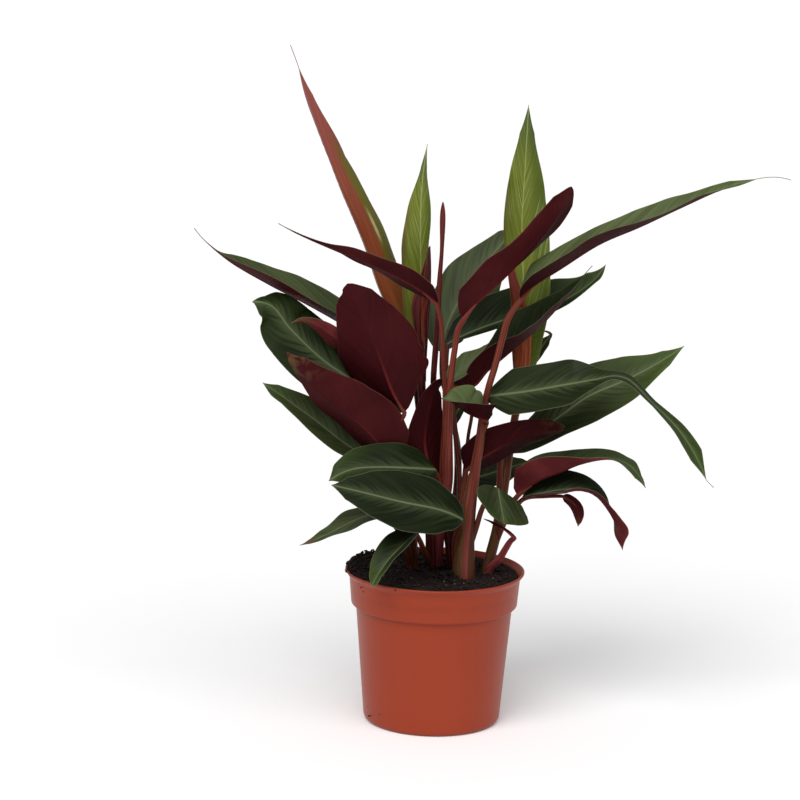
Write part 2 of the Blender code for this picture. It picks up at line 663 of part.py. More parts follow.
def soil_height(x, y):
    rough = noise.noise(Vector((x * 0.09, y * 0.09, 3.7))) + 0.6 * noise.noise(Vector((x * 0.25, y * 0.25, 9.1)))
    return SOIL_LEVEL + SOIL_SLOPE_X * x + SOIL_SLOPE_Y * y + SOIL_ROUGH * rough


def make_shoot(name, spec, collection, helpers):
    """One shoot: its foot and stalks joined into a single body."""
    x, y, radius = spec["foot"]
    top = soil_height(x, y) + 1.0
    foot = make_foot(name, spec["foot"], top, top - 84.0, collection)
    stalks = bpy.data.collections.new(name + "_stalks")
    helpers.children.link(stalks)
    for index, (leaf_name, top_radius, points) in enumerate(spec["stalks"]):
        line = stalk_line(leaf_name, top_radius, points)
        as_cutter(make_tube(f"{name}_stalk_{index}", line, stalks))
    join = foot.modifiers.new("Stalks", "BOOLEAN")
    join.operation = "UNION"
    join.operand_type = "COLLECTION"
    join.collection = stalks
    join.solver = "EXACT"
    return foot


def turned(name, profile, steps, collection, *materials):
    """A profile of (radius, height) pairs in mm, turned about Z. It runs up the inside and down the
    outside."""
    mesh = bpy.data.meshes.new(name)
    mesh.from_pydata([(r * MM, 0, z * MM) for r, z in profile], [(i, i + 1) for i in range(len(profile) - 1)], [])
    obj = add_object(name, mesh, collection, *materials)
    spin = obj.modifiers.new("Turn", "SCREW")
    spin.axis = "Z"
    spin.angle = math.tau
    spin.steps = steps
    spin.render_steps = steps
    spin.use_merge_vertices = True
    spin.merge_threshold = 0.00005
    spin.use_smooth_shade = True
    return obj


def pot_profile():
    """Up the inside from the middle of the floor, over the lip and down the outside."""
    inner = [
        (0, POT_FLOOR),
        (BODY_FOOT_R - POT_WALL - 2.2, POT_FLOOR),
        (BODY_FOOT_R - POT_WALL, POT_FLOOR + 2.2),
        (BODY_TOP_R - POT_WALL, COLLAR_FOOT_Z + 0.8),
        (COLLAR_FOOT_R - POT_WALL, COLLAR_FOOT_Z + 2.2),
        (COLLAR_TOP_R - POT_WALL, POT_H - 4.2),
        (POT_RIM_R - 1.6, POT_H - 0.4),
    ]
    lip = [(POT_RIM_R - 1.1, POT_H), (POT_RIM_R - 0.4, POT_H), (POT_RIM_R, POT_H - 0.4), (POT_RIM_R, POT_H - 1.2)]
    outer = [
        (COLLAR_TOP_R + 0.2, POT_H - 4.6),
        (COLLAR_FOOT_R, COLLAR_FOOT_Z + 0.6),
        (COLLAR_FOOT_R - 0.6, COLLAR_FOOT_Z),
        (BODY_TOP_R, COLLAR_FOOT_Z - 0.5),
        (BODY_FOOT_R, 3.2),
        (BODY_FOOT_R - 0.7, 1.1),
        (BODY_FOOT_R - 2.4, 0),
        (0, 0),
    ]
    return inner + lip + outer


def make_pot(collection, helpers):
    pot = turned("pot", pot_profile(), POT_STEPS, collection, "pot")
    holes = bpy.data.collections.new("drain_holes")
    helpers.children.link(holes)
    for index in range(DRAIN_HOLES):
        turn = math.tau * index / DRAIN_HOLES
        place = (DRAIN_RING_R * math.cos(turn), DRAIN_RING_R * math.sin(turn), DRAIN_R)
        as_cutter(make_foot(f"drain_hole_{index}", place, POT_FLOOR + 3, POT_FLOOR + 6, holes, sides=16))
    cut = pot.modifiers.new("Drain holes", "BOOLEAN")
    cut.operation = "DIFFERENCE"
    cut.operand_type = "COLLECTION"
    cut.collection = holes
    cut.solver = "EXACT"
    return pot


def collar_radius(z):
    """The collar's inner radius at a height, less the gap that the soil keeps to it."""
    radius = float(np.interp(z, [COLLAR_FOOT_Z, POT_H - 4.2], [COLLAR_FOOT_R, COLLAR_TOP_R]))
    return radius - POT_WALL - SOIL_GAP


def make_soil(collection, helpers):
    """The potting soil: a plug that fills the pot, with an uneven top and a hole for each shoot."""
    sides = [
        (BODY_FOOT_R - 2.0, POT_FLOOR + SOIL_GAP),
        (BODY_FOOT_R, POT_FLOOR + 2.5),
        (BODY_TOP_R, COLLAR_FOOT_Z + 1.1),
        (COLLAR_FOOT_R, COLLAR_FOOT_Z + 3.0),
    ]
    rings = [[(radius - POT_WALL - SOIL_GAP, z)] * SOIL_STEPS for radius, z in sides]
    edge = []
    for step in range(SOIL_STEPS):
        turn = math.tau * step / SOIL_STEPS
        z = min(soil_height(54 * math.cos(turn), 54 * math.sin(turn)) - 0.6, POT_H - 0.4)
        edge.append((collar_radius(z), z))
    rings.append(edge)
    for radius in (50, 44, 37, 29, 20, 10):
        ring = []
        for step in range(SOIL_STEPS):
            turn = math.tau * step / SOIL_STEPS
            ring.append((radius, soil_height(radius * math.cos(turn), radius * math.sin(turn))))
        rings.append(ring)
    mesh = bpy.data.meshes.new("soil")
    shape = bmesh.new()
    drawn = []
    for ring in rings:
        row = []
        for step, (radius, z) in enumerate(ring):
            turn = math.tau * step / SOIL_STEPS
            row.append(shape.verts.new((radius * math.cos(turn) * MM, radius * math.sin(turn) * MM, z * MM)))
        drawn.append(row)
    for low, high in zip(drawn, drawn[1:]):
        for a, b, c, d in zip(low, low[1:] + low[:1], high[1:] + high[:1], high):
            shape.faces.new((a, b, c, d))
    shape.faces.new(drawn[0][::-1])
    middle = shape.verts.new((0, 0, soil_height(0, 0) * MM))
    for a, b in zip(drawn[-1], drawn[-1][1:] + drawn[-1][:1]):
        shape.faces.new((a, b, middle))
    bmesh.ops.triangulate(shape, faces=shape.faces[:])
    bmesh.ops.recalc_face_normals(shape, faces=shape.faces[:])
    shape.to_mesh(mesh)
    shape.free()
    mesh.shade_smooth()
    soil = add_object("soil", mesh, collection, "soil")
    holes = bpy.data.collections.new("foot_holes")
    helpers.children.link(holes)
    for name, spec in SHOOTS.items():
        as_cutter(make_foot(name + "_hole", spec["foot"], 125, 125 - 83.5, holes, grow=HOLE_GAP))
    cut = soil.modifiers.new("Foot holes", "BOOLEAN")
    cut.operation = "DIFFERENCE"
    cut.operand_type = "COLLECTION"
    cut.collection = holes
    cut.solver = "EXACT"
    return soil


def main():
    clear_scene()
    plant = new_collection("stripestar_calathea")
    helpers = new_collection("helpers", hidden=True)
    make_pot(plant, helpers)
    make_soil(plant, helpers)
    for name, spec in SHOOTS.items():
        make_shoot(name, spec, plant, helpers)
    make_tube("rolled_leaf", ROLLED_LEAF, plant).data.materials[0] = material("leaf_lower")
    for name in LEAVES:
        make_blade(name, plant)


main()
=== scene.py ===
"""The potted stripestar calathea's look: fine leaves with ribs, veins and wavy margins, grooved
stalks, a moulded pot and crumbly soil, all in the places that the frame's solids hold.

Lengths in the tables are millimetres. The frame, like Blender, is in metres.
"""

import json
import math

import bmesh
import bpy
import numpy as np
from mathutils import Matrix, Vector, noise

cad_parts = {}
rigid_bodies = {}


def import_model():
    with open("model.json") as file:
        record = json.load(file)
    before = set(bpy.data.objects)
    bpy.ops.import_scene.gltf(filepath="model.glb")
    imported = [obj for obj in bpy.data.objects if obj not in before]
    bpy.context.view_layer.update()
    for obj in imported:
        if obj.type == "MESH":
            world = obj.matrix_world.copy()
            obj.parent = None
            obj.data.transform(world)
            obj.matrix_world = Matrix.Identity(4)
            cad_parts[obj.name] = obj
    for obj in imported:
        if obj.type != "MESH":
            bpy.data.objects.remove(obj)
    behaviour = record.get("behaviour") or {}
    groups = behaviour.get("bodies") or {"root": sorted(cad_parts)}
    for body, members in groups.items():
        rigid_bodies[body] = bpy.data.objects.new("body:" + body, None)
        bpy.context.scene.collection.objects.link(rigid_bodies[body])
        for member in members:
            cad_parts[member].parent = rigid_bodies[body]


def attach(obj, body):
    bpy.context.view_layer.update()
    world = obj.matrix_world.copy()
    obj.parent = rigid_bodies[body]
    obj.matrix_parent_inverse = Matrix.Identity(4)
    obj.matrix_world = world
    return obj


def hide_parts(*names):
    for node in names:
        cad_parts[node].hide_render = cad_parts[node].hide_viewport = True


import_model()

MM = 0.001
SEED = 11

# Camera: the photograph's frame is 800 x 800 pixels
IMAGE_SIDE = 800
FOCAL_PIXELS = 2872.2
SENSOR_MM = 36.0
CAMERA_AWAY = 1900.0
CAMERA_ELEVATION = math.radians(11.14)
CAMERA_ROLL = 0.0234
CAMERA_TARGET = (-26.0, 0.0, 217.5)
CLIP_METRES = (0.1, 200)

# Light: each softbox is its name, its turn to the right of straight in front, its rise, both in
# degrees, its strength and how many degrees wide it is
WORLD_STRENGTH = 0.42
SOFTBOXES = (
    ("key", -25, 48, 2.0, 40),
    ("fill", 35, 42, 0.9, 50),
)
FLOOR_HALF = 30.0  # metres
FLOOR_LEVEL = -0.0002  # metres, just under the pot

# Pot
POT_RIM_R = 60.0
POT_H = 103.2
POT_WALL = 1.3
POT_FLOOR = 1.8
COLLAR_TOP_R = 57.0
COLLAR_FOOT_R = 55.6
COLLAR_FOOT_Z = 79.7
BODY_TOP_R = 52.4
BODY_FOOT_R = 45.9
LIP_H = 4.2
POT_ROUNDING = 0.9
POT_STEPS = 192
SHARP_ANGLE = math.radians(50)
DRAIN_HOLES = 6
DRAIN_R = 3.2
DRAIN_RING_R = 34.0
DRAIN_SIDES = 28
DRAIN_OVERRUN = 3.0  # how far each cutter reaches past the floor

# Soil. A wave is how many turns it makes in a millimetre, its layer of the noise and its height.
SOIL_GAP = 0.35
SOIL_LEVEL = 101.2
SOIL_SLOPE = -0.02
SOIL_WAVES = ((0.09, 3.7, 1.3), (0.25, 9.1, 0.78))
CLOD_WAVES = ((0.16, 1.0, 1.1), (0.45, 5.0, 0.9), (1.1, 8.0, 0.5))
CLOD_SINK = 0.6
SOIL_STEPS = 220
SOIL_RINGS = 66
WALL_BLEND = 4.0  # how far in from the wall the rough top runs into the level edge
EDGE_R = 54.0  # where the edge takes its height
EDGE_SINK = 0.6
EDGE_BELOW_RIM = 0.4

# Crumbs: on the soil, heaped over the rim at the left, in mounds at the stalks' feet (middle x and
# y, spread, height and number) and on the pot's side (the way they face in degrees, height, size)
CRUMBS = 3000
CRUMB_REACH = 54.5
CRUMB_LEAST = 0.55
CRUMB_MOST = 4.2
CRUMB_SPREAD = 0.75
CRUMB_RISE = (-0.1, 0.35)  # how high a crumb lies, as a share of its size
HEAP_CRUMBS = 900
HEAP_TURN = 166.0  # degrees round from the right
HEAP_SPREAD = 30.0  # degrees, as a normal spread
HEAP_HEIGHT = 6.5
HEAP_MIDDLE_R = 54.5
HEAP_HALF_WIDTH = 6.0
HEAP_BAND = (48.0, 59.6)
HEAP_SIZES = (0.7, 2.6)
HEAP_FOOT = POT_H - 1.2
FOOT_HEAPS = ((8, -14, 8, 4.5, 260), (-5, 0, 6, 3.0, 110))
FOOT_SIZES = (0.8, 3.0)
FOOT_REACH = 50.0  # no mounded crumb lies further out
STUCK_CRUMBS = (
    (212, 97.0, 1.5),
    (214, 94.6, 0.9),
    (209, 99.0, 1.1),
    (207, 6.0, 1.3),
    (222, 10.5, 0.8),
    (204, 12.0, 0.6),
)
SPECKS = 26
SPECK_X = (-48, 48)
SPECK_Y = (-50, 30)
SPECK_REACH = 48.0
SPECK_RISE = 0.9
SPECK_SIZES = (0.4, 1.0)
LUMP_R = 0.55  # a lump's radius for each mm of its size
LUMP_SQUASH = (0.6, 1.35)  # its least and greatest stretch along an axis
LUMP_FLAT = (1, 1, 0.7)
LUMP_PUSH = 0.18  # how far its corners are pushed in or out, as a share of the radius

# Leaf blades
WIDTH_STATIONS = (0.1, 0.3, 0.5, 0.7, 0.9)
FOOT_WIDTH = 0.82  # share of the first station's width
TIP_WIDTH = 0.72  # share of the last station's width
FOOT_SHARE = 0.1  # share of the blade over which it opens from the stalk
TIP_SHARE = 0.1  # share of the blade over which it closes to the tip
FOOT_POWER = 0.5
TIP_POWER = 1.0
BLUNT_TIP_POWER = 0.55
LEAST_HALF_WIDTH = 0.45
THREAD_HALF_WIDTH = 0.22
FLAT_BELOW = 7.0  # a half narrower than this folds and curls less
ROLL_BELOW = 13.0  # the same for the young leaves and the spear
PLAIN_FOLD = (8, 0)  # a half's fold and curl where none are given
EDGE_WAVE = 0.5  # height of the even waves of the margin
EDGE_WAVES = 2.5  # how many there are along the blade
EDGE_RIPPLE = 0.55  # height of the random ones
RIPPLES_PER_MM = 0.055
WAVE_FULL_WIDTH = 8.0  # a half narrower than this has lower waves
CURVE_POINTS = 1200  # on a curve, before it is cut into equal steps
RIB_POINTS = 60  # to measure a rib's length with
ROW_STEP = 1.25  # between a blade's rows of points
LEAST_ROWS = 24
THREAD_ROWS = 8
ACROSS = 28  # faces from margin to margin
BLADE_RIB = 0.52  # thickness at the rib
BLADE_MARGIN = 0.2  # thickness at the margin
QUILT = 0.13  # swelling of the blade between its side veins
QUILT_STEP = 6.5
QUILT_POWER = 0.8
QUILT_FULL_WIDTH = 10.0
RIB_TAPER = 0.75  # share of its size that the rib loses on its way to the tip
RIB_LEAST = 0.2  # its least share
RIB_FULL_WIDTH = 6.0
GROOVE_DEPTH = 0.28
GROOVE_HALF_WIDTH = 0.9
RIDGE_HEIGHT = 0.75
RIDGE_HALF_WIDTH = 1.05
WRAP_ROWS = 60
WRAP_ACROSS = 14
WRAP_FULL_WIDTH = 8.0
VEIN_LEAN = 1.2  # how far forward a side vein runs for each mm off the rib
VEIN_CURVE = 1.0  # how much further forward it runs at the margin
RUN_UNIT = 200.0  # mm that one unit of the "run" map stands for
EDGE_UNIT = 50.0  # mm that one unit of the "edge" map stands for

# Stalks. The end of one is laid to its leaf's rib at these distances with these shares of its radius.
STALK_END = ((0.0, 0.95), (2.5, 0.8), (7.0, 0.5), (12.0, 0.25))
STALK_CLEAR = 0.1  # between a stalk's end and the rib's middle surface
STALK_POINTS = 40  # to measure a stalk's length with
STALK_STEP = 2.0  # between its rings of points
STALK_SIDES = 26
LEAST_STALK_ROWS = 16
STALK_TURN = 0.9  # radians round from the right to a sheath's free edge
STALK_RIBS = 7
STALK_RIB_DEPTH = 0.02  # share of the radius
LAP = 0.16  # how far a sheath's free edge stands proud, as a share of the radius
LAP_FADE = 0.12  # share of the stalk over which it runs out
TONE_FROM_Z = 95.0  # a stalk's tone holds its height, from 0 here
TONE_SPAN = 200.0  # to 1 this far above
SHEATH_ROWS = 40
SHEATH_ACROSS = 12
SHEATH_THICK = 0.3
SHEATH_TAPER = 0.45  # power by which a strip narrows to its top
SHEATH_CLEAR = 1.02  # a strip's least radius as a share of the stalk's
SHEATH_RUN = 20  # the strips' place on the "run" map, clear of the stalks'
ROLLED_ROWS = 48
ROLLED_SIDES = 28
ROLLED_SHEATH = 0.97  # share of the rolled leaf that shows a free edge
ROLLED_TONE = (0.55, 0.0, 1.0, 1.0)  # dark, olive, height's share; the last isn't used

UP = (0.0, 0.0, 1.0)

# Each leaf: the midrib from the stalk's top to the tip (mm), the half widths (mm) at the five
# stations, the direction its upper side faces (once, or from base to tip), and how each half
# stands off the flat: (fold, curl) in degrees, left half and right half as seen from above,
# looking from base to tip. A fold tips the whole half up at the rib; a curl bends it further
# towards its edge. Its look, from 0 for none: how light its upper side is, how far its light green
# tip reaches, how strong its pale streaks are and how far its brown tip reaches; light_below is how
# light its underside is, where that differs. The upper side's lightness is partly the leaf's own
# tone and partly painted sheen of the leaves that catch the light; the underside's lightness is
# partly painted glow of light shining through the leaf from behind. Nicks are torn places and
# bulges in a margin: the side (1 is the right, -1 the left), where it is along the blade from 0 to
# 1, its length as a share of the blade's and its depth as a share of the half's width, less than
# nothing for a bulge.
PLAIN_LOOK = (0.15, 0.3, 0.5, 0.0)
LEAVES = {
    "spear_leaf": dict(
        rib=[(-19, 16, 252), (-38, 20, 283), (-51, 20, 318), (-69, 16, 359), (-85, 12, 400), (-97, 8, 435)],
        widths=(17, 22, 19.5, 11.5, 3.6), thread=[(-99.5, 8, 441.5), (-102.5, 8, 449)],
        faces=[(0.55, 0.75, 0.2)],
        left=(20, 110), right=(20, 110), kind="spear",
    ),
    "young_leaf_left": dict(
        rib=[(-13, 12, 243), (-14, 12, 267), (-14, 12, 293), (-15, 10, 326), (-15, 8, 356), (-12, 5, 387)],
        widths=(9.5, 12.5, 12.8, 8.6, 1.9), faces=[(-0.2, -1, 0.2)],
        left=(5, 25), right=(10, 190), right_tip=(10, 10), kind="young", look=(0.3, 0.3, 1, 0),
    ),
    "young_leaf_right": dict(
        rib=[(56, 34, 223), (56, 38, 250), (55, 44, 290), (53, 48, 330), (54, 49, 370), (55, 49, 410)],
        widths=(11, 18, 19, 14.5, 5), faces=[(0, -1, 0.2)],
        left=(20, 110), left_tip=(15, 10), right=(10, 10), kind="young", look=(0.3, 0.3, 1, 0),
    ),
    "leaf_maroon_diagonal": dict(
        rib=[(14, -8, 275), (22, -7, 284), (38, -4, 299), (57, 2, 319), (73, 6, 340), (83, 8, 361)],
        widths=(17, 19.5, 15, 13, 10), faces=[(-0.4, 0.85, 0.3)],
        left=(80, 0), left_tip=(15, 0), right=(5, 0), blunt=True, look=(0.4, 0, 0.3, 0),
    ),
    "leaf_maroon_long": dict(
        rib=[(-3, -12, 285), (-25, -16, 300), (-57, -20, 315), (-87, -25, 327), (-107, -28, 337)],
        widths=(11.5, 13, 10, 4.3, 1.1), faces=[(0, 0.65, 1), (0, 0.45, 1)],
        right=(14, 0), look=(0.4, 0, 0.3, 0),
    ),
    "leaf_long_right": dict(
        rib=[(51, 1, 288), (61, 0, 297), (77, -1, 308), (102, -2, 325), (128, -2, 337), (154, -2, 350),
            (179, -2, 362), (203, -2, 370)],
        widths=(18, 17, 14, 9, 4.5), thread=[(211, -2, 371.3), (218, -2, 371.2), (225, -2, 369.8)],
        faces=[(0, 0, 1), (0, -0.1, 1), (0, -0.5, 1), (0, -0.6, 0.8)],
        left=(39, 0), left_tip=(10, 0), right=(26, 0), right_tip=(56, 0),
        look=(1, 0.5, 1, 0), light_below=0.1,
    ),
    "leaf_back_sheen": dict(
        rib=[(1, 53, 241), (6, 62, 261), (18, 74, 282), (32, 84, 300), (52, 91, 323)],
        widths=(13, 19, 21, 15, 8), faces=[(-0.3, -0.8, 0.5)],
        left=(5, 0), right=(-30, 0), look=(0.45, 0.1, 0.7, 0),
    ),
    "leaf_back_dark": dict(
        rib=[(5, 43, 248), (20, 50, 255), (42, 60, 262), (65, 68, 268), (84, 72, 275), (102, 74, 287),
            (112, 75, 300)],
        widths=(13, 21, 22, 17, 7), faces=[(-0.1, -0.6, 0.9)],
        left=(25, 0), right=(20, 30), look=(0, 0.4, 0.5, 0),
    ),
    "leaf_folded_right": dict(
        rib=[(7, 12, 227), (22, 14, 225), (32, 15, 236), (48, 17, 250), (67, 19, 267), (80, 20, 282),
            (96, 22, 303)],
        widths=(10, 15, 20, 13, 4), thread=[(99.5, 22, 307)],
        faces=[(-0.2, 0.55, 1), (-0.2, 0.3, 1), (-0.2, -0.3, 1), (-0.2, -0.2, 1), (-0.2, -0.1, 1)],
        left=(42, 0), left_tip=(75, 0), right=(58, 0), right_tip=(30, 0), look=(0.1, 0.3, 0.4, 0),
    ),
    # The high upper lightness of this leaf is mostly painted sheen.
    "leaf_small_sheen": dict(
        rib=[(7, 27, 224.8), (14, 31, 231.6), (23, 34, 239.6), (33, 38, 250.6)],
        widths=(7, 10, 10, 6, 2), faces=[(-0.4, -0.7, 0.5)], look=(1.5, 0.2, 1, 0),
    ),
    "leaf_long_left": dict(
        rib=[(-52, 16, 257), (-69, 11, 268), (-93, 4, 282), (-113, -2, 293), (-139, -10, 309),
            (-158, -16, 326)],
        widths=(19, 20.5, 18.5, 12.5, 3), thread=[(-162, -16, 331)], faces=[UP],
        left=(8, 0), left_tip=(24, 0), right=(50, 0), right_tip=(28, 0),
        look=(0.6, 0.2, 0.7, 0), light_below=0.3,
    ),
    "leaf_left_green": dict(
        rib=[(-29, 0, 214), (-51, -2, 227), (-76, -4, 243), (-99, -8, 265), (-111, -11, 280),
            (-124, -12, 283)],
        widths=(15, 20, 21.5, 20, 13), faces=[(-0.3, -0.8, 0.5)],
        right_tip=(-38, 0), look=(0.04, 0.15, 0.7, 0), nicks=[(-1, 0.965, 0.03, -0.9)],
    ),
    "leaf_left_small": dict(
        rib=[(-41, -8, 241), (-63, -9.5, 255), (-79, -12.5, 267), (-89, -14.5, 272), (-98, -15.5, 270)],
        widths=(8, 8.5, 8, 6, 3), faces=[(-0.2, 0.7, 0.8)], look=(1, 1, 0.4, 0), light_below=1.3,
    ),
    "leaf_maroon_large": dict(
        rib=[(-23, -14, 212), (-31, -17, 226), (-37, -20, 242), (-45, -22, 263), (-53, -20, 279),
            (-62, -16, 297)],
        widths=(14, 27, 28, 22, 13), faces=[(-0.2, 1, 0.2)],
        left=(5, 0), right=(50, 0), right_tip=(10, 0), blunt=True, look=(0.2, 0, 0.1, 0),
        nicks=[(1, 0.955, 0.012, 0.25), (-1, 0.44, 0.02, 0.05), (-1, 0.34, 0.02, 0.06),
            (-1, 0.22, 0.16, -0.13)],
    ),
    "leaf_maroon_low": dict(
        rib=[(-28, -9, 177.8), (-38, -13.5, 189.7), (-52, -20, 205), (-64, -24, 214), (-75, -27, 224),
            (-88, -28, 238), (-100, -28, 253)],
        widths=(20, 25, 24, 17, 8), faces=[(-0.2, 0.95, 0.4)],
        left=(3, 0), right=(50, 0), look=(0.3, 0.8, 0.7, 0),
    ),
    "leaf_left_low": dict(
        rib=[(-42, 6, 174), (-62, 5, 186), (-80, 4, 200), (-99, 2, 214), (-117, 0, 227)],
        widths=(11, 14, 14, 10, 5), faces=[(-0.3, -0.8, 0.5)],
        left=(50, 0), right=(5, 0), look=(0.35, 0.3, 0.5, 0),
    ),
    "leaf_maroon_upright": dict(
        rib=[(-1, 0, 164), (-9, -2, 187), (-7, -2, 208), (-2, 2, 226), (4, 12, 227)],
        widths=(11, 13, 12, 9, 4), faces=[(-0.5, 0.85, 0.3)], look=(0, 0, 0.2, 0),
        nicks=[(-1, 0.35, 0.35, -0.48)],
    ),
    "leaf_bent_centre": dict(
        rib=[(32, -10, 206.9), (28, -19, 209.9), (17, -22, 215), (8, -21, 221), (1, -19, 223)],
        widths=(11, 15, 17, 17, 9), faces=[UP],
        left=(72, 0), left_tip=(5, 0), right=(70, 0), right_tip=(60, 0),
        look=(1, 0.4, 0.7, 0), light_below=0.0, nicks=[(1, 0.12, 0.16, 0.55)],
    ),
    "leaf_front_upper": dict(
        rib=[(-1, -10, 173.2), (-18, -24, 177), (-41, -33, 179), (-57, -38, 178), (-71, -42, 171)],
        widths=(15, 18, 18, 15, 8), faces=[(0, -0.75, 0.7)],
        left=(-30, 0), right=(5, 0), look=(0, 0.35, 0.45, 0), nicks=[(-1, 0.88, 0.05, 0.3)],
    ),
    "leaf_front_lower": dict(
        rib=[(17.4, -22, 142.2), (2, -32, 151), (-24, -45, 159), (-50, -54, 167), (-69, -58, 172)],
        widths=(12, 20, 21, 17, 8), faces=[(0.1, -0.9, 0.6)], look=(0, 0.05, 0.55, 0),
    ),
    "leaf_over_rim": dict(
        rib=[(-13, -34, 136), (-22, -46, 130), (-32, -56, 121), (-42, -60, 105)],
        widths=(11, 13, 12.5, 10, 5), faces=[(-0.3, -0.8, 0.5)],
        left=(50, 0), right=(5, 0), look=(0.05, 0.6, 0.4, 0), nicks=[(-1, 0.6, 0.06, 0.15)],
    ),
    "leaf_thin_left": dict(
        rib=[(-37, -30, 149), (-54, -34, 143), (-73, -40, 134), (-89, -44, 128)],
        widths=(12, 13.5, 11, 7, 2.5), faces=[(0, -0.2, 1)], look=(0.5, 0.2, 0.5, 0.5),
    ),
    "leaf_hanging_tip": dict(
        rib=[(31, -3, 222), (57, -14, 228), (78, -23, 234), (99, -32, 240), (113, -38, 244),
            (122, -42, 242), (135, -45, 230), (157, -46, 208), (174, -44, 178)],
        widths=(17, 17.5, 6, 4.8, 6.2), thread=[(176.4, -44, 175.5), (179, -44, 173)],
        faces=[(0, -0.8, 0.6), (0, -0.8, 0.6), (0, -0.8, 0.65), (0.1, -0.3, 0.9), (0.8, -0.25, 0.5),
            (0.75, -0.65, 0.35), (0.6, -0.8, 0.3)], look=(0.1, 0.5, 0.65, 0),
        nicks=[(1, 0.8, 0.1, -0.3), (-1, 0.8, 0.1, -0.3)],
    ),
    "leaf_right_back": dict(
        rib=[(42, 18, 181), (62, 18, 191), (81, 15, 206), (100, 12, 221), (124, 9, 233), (146, 8, 246),
            (161, 7, 257)],
        widths=(9, 14.5, 20.5, 16.5, 6), faces=[(-0.2, -0.8, 0.6)], look=(0.2, 0.7, 0.6, 0),
    ),
    "leaf_maroon_right": dict(
        rib=[(19, 6, 170), (35, 2, 183), (51, -3, 193), (68, -6, 199), (83, -8, 204)],
        widths=(14, 16, 14, 11, 7), faces=[(-0.1, 0.95, 0.2)],
        left=(35, 0), right=(8, 0), blunt=True, look=(0.1, 0.3, 0.5, 0), nicks=[(1, 0.95, 0.02, 0.3)],
    ),
    "leaf_twisted_right": dict(
        rib=[(53, 0, 156), (60, -3, 161), (70, -6, 168), (82, -10, 174), (94, -13, 180), (110, -15, 184),
            (121, -17, 183), (129, -18, 178), (137, -19, 166)],
        widths=(16, 17, 13.5, 9.5, 5), faces=[UP, UP, (0, -0.1, 1), (0.3, -0.4, 0.7)],
        left=(76, 0), left_tip=(-10, 0), right=(82, 0), right_tip=(-10, 0),
        look=(0.35, 0.5, 0.4, 0), light_below=1.4,
        nicks=[(1, 0.8, 0.05, -0.3), (-1, 0.84, 0.04, -0.45), (-1, 0.92, 0.02, 0.25)],
    ),
    "leaf_drooping_right": dict(
        rib=[(57, 2, 153), (72, 0, 157), (85, -3, 160), (96, -6, 161), (106, -8, 157), (114, -10, 148),
            (120, -11, 137), (124, -12, 122)],
        widths=(10, 15, 11, 5.5, 5), faces=[(0, -0.3, 1), (0, -0.4, 0.9), (0.6, 0.1, 0.6), (0.5, 0.8, 0.1)],
        left=(30, 0), right=(5, 50), look=(0, 0.2, 0.4, 0), light_below=0.9,
        nicks=[(1, 0.86, 0.06, -0.5), (-1, 0.86, 0.06, -0.5)],
    ),
    "leaf_small_hanging": dict(
        rib=[(84, 8, 153), (91, 8, 149), (95, 7, 143), (95, 6, 133)],
        widths=(3, 3.6, 4, 3.5, 1.8), faces=[(0, 1, -0.2)], look=(0.5, 0.6, 0.3, 0.3),
    ),
    "leaf_front_round": dict(
        rib=[(40, -14, 162.5), (42, -27, 153), (44, -38, 144)],
        widths=(12.5, 19.5, 22.5, 20.5, 13.5), faces=[(0.62, -0.38, 0.68)],
        left=(4, 0), right=(4, 0), blunt=True, look=(0.25, 0.2, 0.6, 0), nicks=[(-1, 0.75, 0.1, -0.12)],
    ),
    "leaf_narrow_dark": dict(
        rib=[(53, -12, 129), (42, -16, 137), (31, -20, 143)],
        widths=(1.5, 2.5, 3.5, 3.5, 2), faces=[(0, 0.3, 1)], look=(0.1, 0, 0.2, 0),
    ),
    "leaf_small_back": dict(
        rib=[(63, 46, 235), (67, 48, 243), (72, 50, 251), (75, 51, 255), (72, 51, 257), (68, 51, 257)],
        widths=(2.5, 3.6, 3.8, 1.5, 0.6), faces=[(-0.3, -0.8, 0.4)], look=(0.3, 0.2, 0.3, 0.8),
    ),
    "leaf_back_low": dict(
        rib=[(23, 42, 155), (40, 42, 161), (63, 45, 168)],
        widths=(9, 11, 11, 8, 4), faces=[(0, -0.8, 0.6)], look=(0.1, 0.3, 0.4, 0),
    ),
    "leaf_small_centre": dict(
        rib=[(19, 14, 214), (14, 16, 210), (10, 17, 201), (9, 17, 193)],
        widths=(2.5, 4.5, 4.5, 3.5, 1.5), faces=[(-0.3, -0.8, 0.5)], look=(0.1, 0.2, 0.3, 0),
    ),
}

